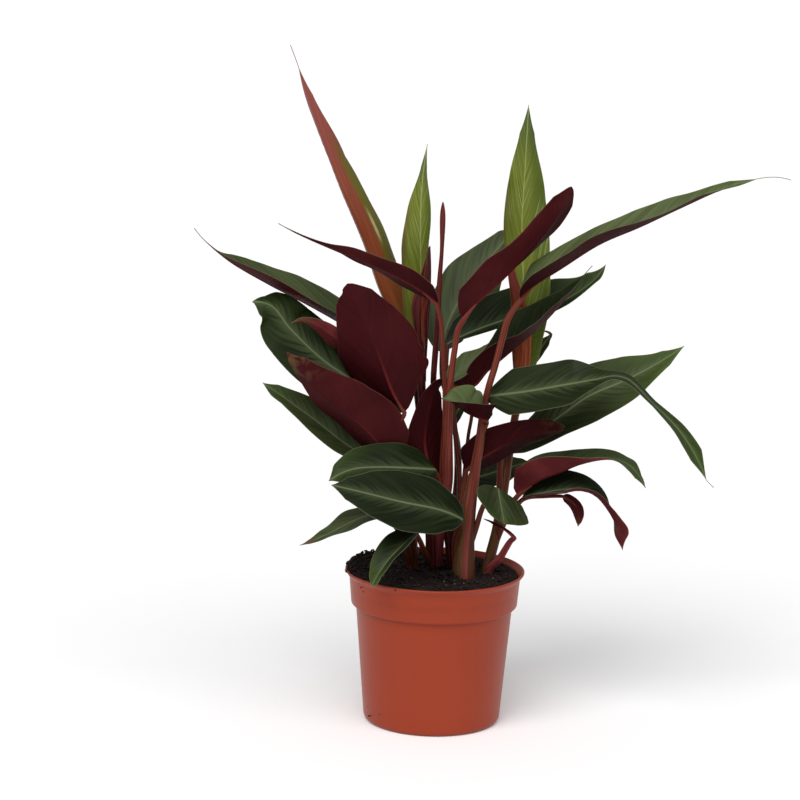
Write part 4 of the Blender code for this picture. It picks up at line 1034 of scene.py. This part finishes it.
def uneven(x, y, waves):
    return sum(high * noise.noise(Vector((x * step, y * step, layer))) for step, layer, high in waves)


def soil_height(x, y):
    return SOIL_LEVEL + SOIL_SLOPE * (x + y) + uneven(x, y, SOIL_WAVES)


def soil_top(x, y):
    """The soil's height with its clods and grains."""
    return soil_height(x, y) + uneven(x, y, CLOD_WAVES) - CLOD_SINK


def soil_edge(turn):
    """The radius and height of the soil's rim against the collar."""
    x, y, _ = turned(EDGE_R, turn, 0)
    z = min(soil_height(x, y) - EDGE_SINK, POT_H - EDGE_BELOW_RIM)
    radius = float(np.interp(z, [COLLAR_FOOT_Z, POT_H - LIP_H], [COLLAR_FOOT_R, COLLAR_TOP_R]))
    return radius - POT_WALL - SOIL_GAP, z


def make_soil(material):
    sides = [
        (BODY_FOOT_R - 2.0, POT_FLOOR + SOIL_GAP),
        (BODY_FOOT_R, POT_FLOOR + 2.5),
        (BODY_TOP_R, COLLAR_FOOT_Z + 1.1),
        (COLLAR_FOOT_R, COLLAR_FOOT_Z + 3.0),
    ]
    turns = round_turns(SOIL_STEPS)
    rings = [[turned(r - POT_WALL - SOIL_GAP, t, z) for t in turns] for r, z in sides]
    edges = [soil_edge(t) for t in turns]
    rings.append([turned(r, t, z) for (r, z), t in zip(edges, turns)])
    for share in 1 - np.arange(1, SOIL_RINGS) / SOIL_RINGS:
        ring = []
        for (r, z), t in zip(edges, turns):
            x, y, _ = turned(r * share, t, z)
            near_wall = max(0, 1 - r * (1 - share) / WALL_BLEND)
            ring.append((x, y, soil_top(x, y) * (1 - near_wall) + z * near_wall))
        rings.append(ring)
    points, faces = closed_body(rings, (0, 0, POT_FLOOR + SOIL_GAP), (0, 0, soil_top(0, 0)))
    add_piece("soil_bed", new_mesh("soil_fine", points, faces), "soil", material, replaces=("soil",))


def crumb_places(rng):
    """Where each crumb on the soil lies and how big it is."""
    places = []
    while len(places) < CRUMBS:
        turn = rng.uniform(0, 2 * math.pi)
        reach = CRUMB_REACH * math.sqrt(rng.uniform())
        size = min(CRUMB_MOST, CRUMB_LEAST + rng.exponential(CRUMB_SPREAD))
        if reach + size < CRUMB_REACH + 1:
            x, y, _ = turned(reach, turn, 0)
            places.append((x, y, soil_top(x, y) + size * rng.uniform(*CRUMB_RISE), size))
    return places


def rim_crumbs(rng):
    """Crumbs heaped against the lip and over it at the left, and a few clinging to the pot's side."""
    places = []
    for _ in range(HEAP_CRUMBS):
        off = rng.normal(0, HEAP_SPREAD)
        reach = rng.uniform(*HEAP_BAND)
        size = rng.uniform(*HEAP_SIZES)
        heap = HEAP_HEIGHT * math.exp(-((off / HEAP_SPREAD) ** 2) / 2)
        heap *= max(0.0, 1 - abs(reach - HEAP_MIDDLE_R) / HEAP_HALF_WIDTH)
        z = HEAP_FOOT + heap * rng.uniform(0.2, 1)
        places.append((*turned(reach, math.radians(HEAP_TURN + off), z), size))
    for turn, z, size in STUCK_CRUMBS:
        slope = (BODY_TOP_R - BODY_FOOT_R) / COLLAR_FOOT_Z
        wall = COLLAR_TOP_R if z > COLLAR_FOOT_Z else BODY_FOOT_R + slope * z
        places.append((*turned(wall + size * 0.35, math.radians(turn), z), size))
    return places


def foot_crumbs(rng):
    """Crumbs mounded round the feet of the front stalks."""
    places = []
    for middle_x, middle_y, spread, height, count in FOOT_HEAPS:
        for off_x, off_y in rng.normal(0, spread, (count, 2)):
            x, y = middle_x + off_x, middle_y + off_y
            size = rng.uniform(*FOOT_SIZES)
            mound = height * math.exp(-(off_x**2 + off_y**2) / (2 * spread**2)) * rng.uniform(0.1, 1)
            if math.hypot(x, y) < FOOT_REACH:
                places.append((x, y, soil_top(x, y) + mound, size))
    return places


def speck_places(rng):
    places = []
    while len(places) < SPECKS:
        x, y = rng.uniform(*SPECK_X), rng.uniform(*SPECK_Y)
        if x * x + y * y < SPECK_REACH**2:
            places.append((x, y, soil_top(x, y) + SPECK_RISE, rng.uniform(*SPECK_SIZES)))
    return places


def make_lumps(name, material, places, rng):
    """A piece of small angular lumps, each an icosahedron turned, squashed and pushed about."""
    shape = bmesh.new()
    bmesh.ops.create_icosphere(shape, subdivisions=1, radius=LUMP_R)
    corners = np.array([vertex.co for vertex in shape.verts])
    faces = np.array([[vertex.index for vertex in face.verts] for face in shape.faces])
    shape.free()
    points, all_faces = [], []
    for index, (x, y, z, size) in enumerate(places):
        turn = np.linalg.qr(rng.normal(size=(3, 3)))[0]
        squash = rng.uniform(*LUMP_SQUASH, 3) * LUMP_FLAT
        push = 1 + rng.uniform(-LUMP_PUSH, LUMP_PUSH, (len(corners), 1))
        points.append(((corners * push) @ turn) * squash * size + (x, y, z))
        all_faces.append(faces + index * len(corners))
    mesh = plain_mesh(name, np.concatenate(points), np.concatenate(all_faces).tolist())
    add_piece(name, mesh, "soil", material)


# Materials


def linear(*screen):
    """A shader colour from red, green and blue screen values of 0 to 255."""
    made = [v / 255 / 12.92 if v <= 10 else ((v / 255 + 0.055) / 1.055) ** 2.4 for v in screen]
    return (*made, 1.0)


def palette(**colours):
    return {name: linear(*screen) for name, screen in colours.items()}


GREEN = palette(
    dark=(11, 17, 9),
    mid=(28, 38, 15),
    light=(92, 103, 64),
    fresh=(66, 84, 30),
    pale=(100, 112, 76),
    rib=(100, 112, 80),
    margin=(130, 132, 100),
)
MAROON = palette(
    dark=(32, 3, 6),
    mid=(50, 7, 11),
    light=(104, 42, 44),
    pale=(104, 44, 42),
    tip=(112, 92, 58),
    rib=(104, 34, 34),
    margin=(118, 66, 56),
)
YOUNG = palette(
    deep=(90, 98, 22),
    mid=(120, 130, 44),
    green=(72, 88, 24),
    tip=(58, 74, 28),
    pale=(172, 180, 124),
    rib=(160, 168, 110),
    margin=(90, 74, 26),
)
RUSSET = palette(dark=(74, 18, 14), mid=(116, 44, 24), light=(146, 76, 38))
SPEAR = palette(
    low=(118, 54, 26),
    high=(131, 65, 60),
    light=(146, 84, 50),
    olive=(86, 90, 26),
    glint=(200, 190, 146),
    foot=(120, 92, 36),
)
STALK = palette(
    mid=(86, 27, 24),
    light=(130, 57, 45),
    pink=(150, 68, 70),
    olive=(92, 74, 36),
    dark=(60, 14, 16),
    brown=(76, 46, 24),
)
POT = palette(dark=(139, 50, 25), light=(148, 56, 30), soiled=(58, 28, 20))
SOIL = palette(dark=(12, 7, 6), light=(48, 31, 25))
SPECK = palette(dark=(120, 106, 88), light=(170, 158, 138))
FLOOR = palette(dark=(250, 250, 250), light=(253, 253, 253))
WRAP_TOP = linear(88, 32, 34)
DRY_BROWN = linear(92, 62, 38)


class Nodes:
    """A new material's node tree and the colour painted so far, with a short call for each kind of
    node that is used here."""

    def __init__(self, name, specular, coat=0.0, coat_roughness=0.3):
        self.material = bpy.data.materials.new(name)
        self.material.use_nodes = True
        self.tree = self.material.node_tree
        self.shader = self.tree.nodes["Principled BSDF"].inputs
        self.shader["Specular IOR Level"].default_value = specular
        self.shader["Coat Weight"].default_value = coat
        self.shader["Coat Roughness"].default_value = coat_roughness

    def node(self, kind, sockets, **settings):
        """The outputs of a new node, whose sockets hold a value or another node's output."""
        made = self.tree.nodes.new("ShaderNode" + kind)
        for key, value in settings.items():
            setattr(made, key, value)
        for key, value in sockets.items():
            if isinstance(value, bpy.types.NodeSocket):
                self.tree.links.new(value, made.inputs[key])
            else:
                made.inputs[key].default_value = value
        return made.outputs

    def math(self, operation, *values, clamp=False):
        return self.node("Math", dict(enumerate(values)), operation=operation, use_clamp=clamp)[0]

    def times(self, first, *others):
        for other in others:
            first = self.math("MULTIPLY", first, other)
        return first

    def plus(self, *values):
        return self.math("ADD", *values)

    def minus(self, *values):
        return self.math("SUBTRACT", *values)

    def scaled(self, value, by, plus, clamp=False):
        return self.math("MULTIPLY_ADD", value, by, plus, clamp=clamp)

    def rise(self, value, low, high):
        """0 below low, 1 above high and a smooth step between."""
        sockets = {"Value": value, "From Min": low, "From Max": high}
        return self.node("MapRange", sockets, interpolation_type="SMOOTHSTEP")["Result"]

    def fall(self, value, low, high):
        return self.minus(1.0, self.rise(value, low, high))

    def mix(self, share, first, second):
        return self.node("Mix", {0: share, 6: first, 7: second}, data_type="RGBA")[2]

    def paint(self, colour, *shares):
        """Lays a colour over the colour so far, as strongly as the product of the shares."""
        self.colour = self.mix(self.times(*shares), self.colour, colour)

    def split(self, vector):
        return self.node("SeparateXYZ", {0: vector})

    def uv(self, name):
        parts = self.split(self.node("UVMap", {}, uv_map=name)[0])
        return parts[0], parts[1]

    def place(self):
        """The point's own position in metres."""
        return self.node("TexCoord", {})["Object"]

    def vector(self, x, y, z=0.0):
        return self.node("CombineXYZ", {0: x, 1: y, 2: z})[0]

    def noise(self, vector, scale, detail=2.0, roughness=0.5):
        sockets = {"Vector": vector, "Scale": scale, "Detail": detail, "Roughness": roughness}
        return self.node("TexNoise", sockets)["Fac"]

    def tone(self):
        """The four values that each point holds for its look."""
        held = self.node("VertexColor", {}, layer_name="tone")
        return (*self.node("SeparateColor", {0: held["Color"]}), held["Alpha"])

    def finish(self, roughness, height=None, depth=0.0):
        """Links the colour, the roughness and a bump whose height is 0 to 1 over depth mm."""
        links = {"Base Color": self.colour, "Roughness": roughness}
        if height is not None:
            sockets = {"Strength": 1.0, "Distance": depth * MM, "Height": height}
            links["Normal"] = self.node("Bump", sockets)[0]
        for key, output in links.items():
            self.tree.links.new(output, self.shader[key])
        return self.material


class BladeNodes(Nodes):
    """Nodes that know where on its blade a point is, in mm: along it, off its rib, in from its margin
    and along the side vein that it lies on."""

    def __init__(self, name, specular, coat=0.0, coat_roughness=0.3, lean=VEIN_LEAN):
        super().__init__(name, specular, coat, coat_roughness)
        run_x, run_y = self.uv("run")
        self.u, edge = self.uv("edge")
        self.along = self.times(run_x, RUN_UNIT)
        signed = self.minus(run_y, 0.5)
        self.side = self.math("SIGN", signed)
        self.off_rib = self.times(self.math("ABSOLUTE", signed), RUN_UNIT)
        self.margin = self.times(edge, EDGE_UNIT)
        self.width = self.plus(self.off_rib, self.margin)
        self.share = self.math("DIVIDE", self.off_rib, self.math("MAXIMUM", self.width, 0.2))
        slope = self.scaled(self.share, VEIN_CURVE, lean)
        wobble = self.times(self.noise(self.vector(self.along, self.off_rib, self.side), 0.05), 6.0)
        self.vein = self.plus(self.minus(self.along, self.times(self.off_rib, slope)), wobble)
        # light is partly painted light: sheen on the upper side, glow of light through the leaf below
        self.light, self.ripe, self.feather, self.brown = self.tone()

    def streaks(self, step, length, detail=3.0):
        """Uneven streaks along the side veins, step mm apart and length mm long, 0 to 1."""
        across = self.times(self.off_rib, 1 / length)
        return self.noise(self.vector(self.times(self.vein, 1 / step), across, self.side), 1.0, detail, 0.55)

    def lines(self, step, length):
        """Uneven streaks along the blade itself, step mm apart and length mm long, 0 to 1."""
        across = self.times(self.off_rib, self.side, 1 / step)
        return self.noise(self.vector(across, self.times(self.along, 1 / length)), 1.0, 3.0, 0.55)

    def veins(self, step):
        """Fine even side veins, 0 to 1."""
        return self.scaled(self.math("SINE", self.times(self.vein, math.tau / step)), 0.5, 0.5)

    def rib(self, at_foot, at_tip):
        """1 on the rib, whose half width goes from one value to the other."""
        half = self.scaled(self.u, at_tip - at_foot, at_foot)
        return self.fall(self.off_rib, self.times(half, 0.35), half)

    def paint_dry_tip(self):
        """Dry brown spreading in from the tip as far as the leaf's look says."""
        ragged = self.scaled(self.noise(self.place(), 120.0, 3), 0.25, -0.12)
        start = self.minus(1.0, self.times(self.brown, 0.4))
        dry = self.rise(self.plus(self.u, ragged), start, self.plus(start, 0.14))
        self.paint(DRY_BROWN, dry, self.rise(self.brown, 0.02, 0.1), 0.8)

    def finish_blade(self, roughness, depth):
        self.paint_dry_tip()
        grain = self.noise(self.place(), 2600.0)
        height = self.plus(self.times(self.veins(1.1), 0.6), self.times(grain, 0.4))
        patches = self.noise(self.place(), 60.0, 3)
        return self.finish(self.scaled(patches, 0.24, roughness - 0.12), height, depth)


def upper_material(name):
    """A grown leaf's upper side: dark green with lighter bands along the side veins, lightened as far
    as its look says, partly with painted sheen, a pale rib from which pale flames run out along the
    veins, a lighter tip and a fine pale margin."""
    n = BladeNodes(name, specular=0.08, coat=0.02)
    bands = n.rise(n.streaks(step=6.5, length=34.0, detail=2.0), 0.32, 0.7)
    n.colour = n.mix(n.scaled(bands, 0.5, 0.25), GREEN["dark"], GREEN["mid"])
    # Lighter as far as the look's light says: partly the leaf's own tone, partly painted sheen
    n.paint(GREEN["light"], n.light, n.scaled(bands, 0.4, 0.5))
    outer = n.times(n.rise(n.share, 0.4, 1.0), n.rise(n.u, 0.1, 0.9), 0.45)
    fresh = n.math("MULTIPLY", n.ripe, n.plus(n.rise(n.u, 0.5, 1.0), outer), clamp=True)
    n.paint(GREEN["fresh"], fresh, 0.85)
    flame = n.times(n.rise(n.streaks(step=4.6, length=45.0, detail=1.0), 0.2, 0.9), n.width, 0.85)
    reach = n.plus(flame, 1.6)
    inside = n.math("DIVIDE", n.minus(reach, n.off_rib), reach, clamp=True)
    thin = n.scaled(n.rise(n.streaks(step=0.9, length=30.0), 0.3, 0.6), 0.25, 0.75)
    n.paint(GREEN["pale"], n.math("POWER", inside, 1.5), thin, n.feather, 0.56)
    n.paint(GREEN["rib"], n.rib(at_foot=1.15, at_tip=0.5), 0.75)
    n.paint(GREEN["margin"], n.fall(n.margin, 0.15, 0.55), 0.35)
    return n.finish_blade(roughness=0.4, depth=0.05)


def lower_material(name):
    """A grown leaf's underside: deep maroon, faintly streaked along the side veins and mottled, lighter
    in blotches as far as its look says, partly with painted glow of light through the leaf, with a
    rib that shows pinkish near the stalk and is lost towards the tip."""
    n = BladeNodes(name, specular=0.05)
    bands = n.rise(n.streaks(step=5.0, length=34.0), 0.35, 0.7)
    n.colour = n.mix(n.scaled(bands, 0.5, 0.35), MAROON["dark"], MAROON["mid"])
    # Lighter blotches: partly the leaf's own tone, partly painted glow of light through the leaf
    tone_and_glow_blotch = n.rise(n.noise(n.place(), 30.0, detail=3), 0.42, 0.7)
    n.paint(MAROON["light"], n.light, n.scaled(tone_and_glow_blotch, 0.4, 0.4))
    n.paint(MAROON["pale"], n.rise(n.streaks(step=1.3, length=16.0), 0.62, 0.76), n.feather, 0.45)
    n.paint(MAROON["dark"], n.fall(n.u, 0.02, 0.3), 0.45)
    mottle = n.rise(n.noise(n.place(), 150.0, detail=3), 0.4, 0.6)
    n.paint(MAROON["tip"], n.ripe, n.rise(n.u, 0.7, 1.0), mottle, 0.6)
    n.paint(MAROON["rib"], n.rib(at_foot=1.3, at_tip=0.5), n.scaled(n.fall(n.u, 0.1, 0.6), 0.75, 0.04))
    n.paint(MAROON["margin"], n.fall(n.margin, 0.1, 0.45), 0.4)
    return n.finish_blade(roughness=0.62, depth=0.06)


def young_upper_material(name):
    """The upper side of the young leaves: yellow-green, greener on one half and near the tip, with
    pale lines nearly along the blade, partly pale veins and partly painted highlights of the gloss,
    and an olive margin."""
    n = BladeNodes(name, specular=0.2, coat=0.08, coat_roughness=0.2, lean=3.2)
    bands = n.rise(n.streaks(step=5.5, length=80.0, detail=2.0), 0.28, 0.75)
    n.colour = n.mix(bands, YOUNG["deep"], YOUNG["mid"])
    n.paint(YOUNG["green"], n.rise(n.side, -0.5, 0.5), n.rise(n.share, 0.1, 0.7), 0.75)
    n.paint(YOUNG["tip"], n.rise(n.u, 0.72, 1.0))
    # Pale streaks in patches: partly pale veins, partly painted highlights on the glossy blade
    patches = n.rise(n.noise(n.place(), 22.0), 0.44, 0.6)
    pale = n.rise(n.streaks(step=2.0, length=70.0, detail=2.0), 0.5, 0.75)
    n.paint(YOUNG["pale"], pale, patches, n.feather)
    n.paint(YOUNG["rib"], n.rib(at_foot=0.9, at_tip=0.5), 0.5)
    lower_left = n.times(n.fall(n.side, -0.5, 0.5), n.fall(n.u, 0.5, 0.8))
    n.paint(YOUNG["margin"], n.fall(n.margin, 0.6, 5.0), lower_left, 0.85)
    return n.finish_blade(roughness=0.34, depth=0.05)


def young_lower_material(name):
    n = BladeNodes(name, specular=0.15, coat=0.04, lean=3.2)
    bands = n.rise(n.lines(step=1.4, length=40.0), 0.35, 0.65)
    n.colour = n.mix(bands, RUSSET["dark"], RUSSET["mid"])
    n.paint(RUSSET["light"], n.rise(n.lines(step=0.8, length=60.0), 0.55, 0.75), 0.6)
    return n.finish_blade(roughness=0.4, depth=0.05)


def wrap_material(name, dark, light):
    """The outer wrap of a young leaf's foot, streaked along its length."""
    n = BladeNodes(name, specular=0.12)
    n.colour = n.mix(n.rise(n.lines(step=1.6, length=50.0), 0.35, 0.65), dark, light)
    n.paint(WRAP_TOP, n.rise(n.u, 0.45, 0.8), 0.8)
    n.paint(RUSSET["light"], n.fall(n.margin, 0.1, 0.8), 0.5)
    return n.finish_blade(roughness=0.45, depth=0.05)


def spear_material(name):
    """The outside of the leaf that is still half rolled: orange-red, duller towards the tip, olive with
    a cream glint along one edge, and streaked with yellow-green at its foot."""
    n = BladeNodes(name, specular=0.16, coat=0.05, coat_roughness=0.25, lean=3.5)
    n.colour = n.mix(n.rise(n.u, 0.3, 0.95), SPEAR["low"], SPEAR["high"])
    n.paint(SPEAR["light"], n.rise(n.lines(step=1.3, length=45.0), 0.45, 0.7), 0.35)
    across = n.times(n.side, n.share)
    edge = n.fall(across, -0.5, -0.34)
    n.paint(SPEAR["olive"], edge, n.rise(n.u, 0.16, 0.3), n.fall(n.u, 0.6, 0.8), 0.85)
    glint = n.times(n.fall(across, -0.47, -0.43), n.rise(across, -0.56, -0.52))
    n.paint(SPEAR["glint"], glint, n.rise(n.u, 0.34, 0.4), n.fall(n.u, 0.42, 0.5), 0.55)
    n.paint(SPEAR["foot"], n.rise(n.lines(step=3.2, length=90.0), 0.42, 0.6), n.fall(n.u, 0.08, 0.3), 0.45)
    return n.finish_blade(roughness=0.38, depth=0.05)


def stalk_material(name):
    """Stalks streaked along their length, coral to dark red, or olive as their look says; the dark red
    is partly painted shade.
    """
    n = Nodes(name, specular=0.1, coat=0.02)
    run_x, turn = n.uv("run")
    dark, olive, height, _ = n.tone()
    along = n.times(run_x, RUN_UNIT)
    angle = n.times(turn, math.tau)
    round_x = n.times(n.math("COSINE", angle), 3.0)
    round_y = n.times(n.math("SINE", angle), 3.0)
    fibre = n.noise(n.vector(round_x, round_y, n.times(along, 0.018)), 1.6, detail=3, roughness=0.6)
    patch = n.noise(n.vector(round_x, round_y, n.times(along, 0.04)), 0.35)
    n.colour = n.mix(n.rise(fibre, 0.42, 0.6), STALK["mid"], STALK["light"])
    low = n.fall(height, 0.05, 0.45)
    n.paint(STALK["pink"], low, n.fall(olive, 0.1, 0.2), 0.85)
    n.paint(STALK["olive"], olive, n.rise(n.plus(patch, n.times(fibre, 0.4)), 0.42, 0.72))
    # Partly painted shade: dark red patches as strong as the stalk's dark value says
    shaded = n.scaled(n.rise(patch, 0.35, 0.65), 0.45, n.minus(dark, 0.2), clamp=True)
    n.paint(STALK["dark"], shaded)
    n.paint(STALK["brown"], low, n.rise(fibre, 0.4, 0.55), n.rise(olive, 0.1, 0.2), 0.75)
    return n.finish(n.scaled(fibre, 0.2, 0.34), fibre, depth=0.12)


def pot_material(name):
    """Terracotta-coloured moulded plastic: slightly uneven in tone, faintly scuffed and smudged with
    soil near the rim and inside the collar."""
    n = Nodes(name, specular=0.2)
    place = n.place()
    x, y, z = n.split(place)
    cloud = n.noise(place, 28.0, detail=3)
    n.colour = n.mix(cloud, POT["dark"], POT["light"])
    smudge = n.rise(n.noise(place, 140.0, detail=5, roughness=0.7), 0.6, 0.8)
    n.paint(POT["soiled"], smudge, n.rise(z, 0.09, 0.104), 0.25)
    radius = n.math("SQRT", n.plus(n.times(x, x), n.times(y, y)))
    inside = n.times(n.fall(radius, 0.0562, 0.0567), n.rise(z, 0.085, 0.1))
    n.paint(POT["soiled"], inside, n.rise(n.noise(place, 90.0, detail=4), 0.3, 0.55), 0.8)
    scuff = n.rise(n.noise(n.vector(x, y, n.times(z, 6.0)), 90.0, detail=4, roughness=0.7), 0.55, 0.8)
    roughness = n.scaled(cloud, 0.12, n.scaled(scuff, 0.12, 0.32))
    return n.finish(roughness, n.noise(place, 1500.0, detail=3), depth=0.03)


def soil_material(name, colours):
    n = Nodes(name, specular=0.25)
    place = n.place()
    grain = n.noise(place, 420.0, detail=5, roughness=0.7)
    n.colour = n.mix(n.rise(grain, 0.35, 0.75), colours["dark"], colours["light"])
    n.paint(colours["dark"], n.rise(n.noise(place, 70.0, detail=3), 0.45, 0.7), 0.5)
    return n.finish(n.scaled(grain, -0.2, 1.0, clamp=True), grain, depth=0.5)


def paper_material(name):
    """The pale floor, very slightly uneven."""
    n = Nodes(name, specular=0.1)
    shade = n.noise(n.place(), 3.0)
    n.colour = n.mix(shade, FLOOR["dark"], FLOOR["light"])
    return n.finish(n.scaled(shade, 0.05, 0.88))


# Stage


def make_camera():
    ahead = Vector((0, math.cos(CAMERA_ELEVATION), -math.sin(CAMERA_ELEVATION)))
    above = Vector((0, math.sin(CAMERA_ELEVATION), math.cos(CAMERA_ELEVATION)))
    right = Vector((1, 0, 0))
    c, s = math.cos(CAMERA_ROLL), math.sin(CAMERA_ROLL)
    data = bpy.data.cameras.new("camera")
    data.sensor_width = SENSOR_MM
    data.lens = FOCAL_PIXELS / IMAGE_SIDE * SENSOR_MM
    data.clip_start, data.clip_end = CLIP_METRES
    camera = new_object("camera", data)
    place = Matrix.Identity(4)
    for column, axis in enumerate((right * c + above * s, above * c - right * s, -ahead)):
        place.col[column][:3] = axis
    place.col[3][:3] = Vector(CAMERA_TARGET) * MM - ahead * CAMERA_AWAY * MM
    camera.matrix_world = place
    bpy.context.scene.camera = camera


def add_softbox(name, turn, rise, strength, spread):
    """A wide far light: turn degrees from straight in front towards the right, rise degrees up."""
    data = bpy.data.lights.new(name, "SUN")
    data.energy = strength
    data.angle = math.radians(spread)
    light = new_object(name, data)
    light.rotation_euler = (math.radians(90 - rise), 0, math.radians(turn))
    light.location = (0, -1, 1)


def make_floor():
    square = ((-1, -1), (1, -1), (1, 1), (-1, 1))
    corners = [(x * FLOOR_HALF, y * FLOOR_HALF, FLOOR_LEVEL) for x, y in square]
    mesh = bpy.data.meshes.new("floor")
    mesh.from_pydata(corners, [], [(0, 1, 2, 3)])
    floor = new_object("floor", mesh)
    mesh.materials.append(paper_material("floor_paper"))


def make_stage():
    world = bpy.data.worlds.new("studio")
    world.use_nodes = True
    background = world.node_tree.nodes["Background"].inputs
    background["Color"].default_value = (1.0, 1.0, 1.0, 1.0)
    background["Strength"].default_value = WORLD_STRENGTH
    bpy.context.scene.world = world
    for softbox in SOFTBOXES:
        add_softbox(*softbox)
    make_floor()
    bpy.context.scene.view_settings.view_transform = "Standard"


def make_plant():
    grown = (upper_material("leaf_upper"), lower_material("leaf_under"))
    young = (young_upper_material("young_upper"), young_lower_material("young_under"))
    looks = {
        None: (grown, "leaves"),
        "young": (young, "young_leaves"),
        "spear": ((young[0], spear_material("spear_outside")), "spear"),
    }
    for name, spec in LEAVES.items():
        make_leaf(name, *looks[spec.get("kind")])
    stalk = stalk_material("stalk")
    for name, stalks in SHOOTS.items():
        make_stalks(name, stalks, stalk)
    make_wrap("young_leaf_left", wrap_material("wrap_maroon", MAROON["mid"], MAROON["light"]))
    make_wrap("young_leaf_right", wrap_material("wrap_orange", RUSSET["mid"], RUSSET["light"]))
    make_rolled_leaf(stalk)


def make_potted_soil():
    make_pot(pot_material("pot_plastic"))
    soil = soil_material("soil_dark", SOIL)
    make_soil(soil)
    rng = np.random.default_rng(SEED)
    make_lumps("soil_crumbs", soil, crumb_places(rng) + rim_crumbs(rng) + foot_crumbs(rng), rng)
    make_lumps("soil_specks", soil_material("soil_speck", SPECK), speck_places(rng), rng)


def main():
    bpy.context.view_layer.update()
    make_plant()
    make_potted_soil()
    make_stage()
    make_camera()
    bpy.context.view_layer.update()


main()
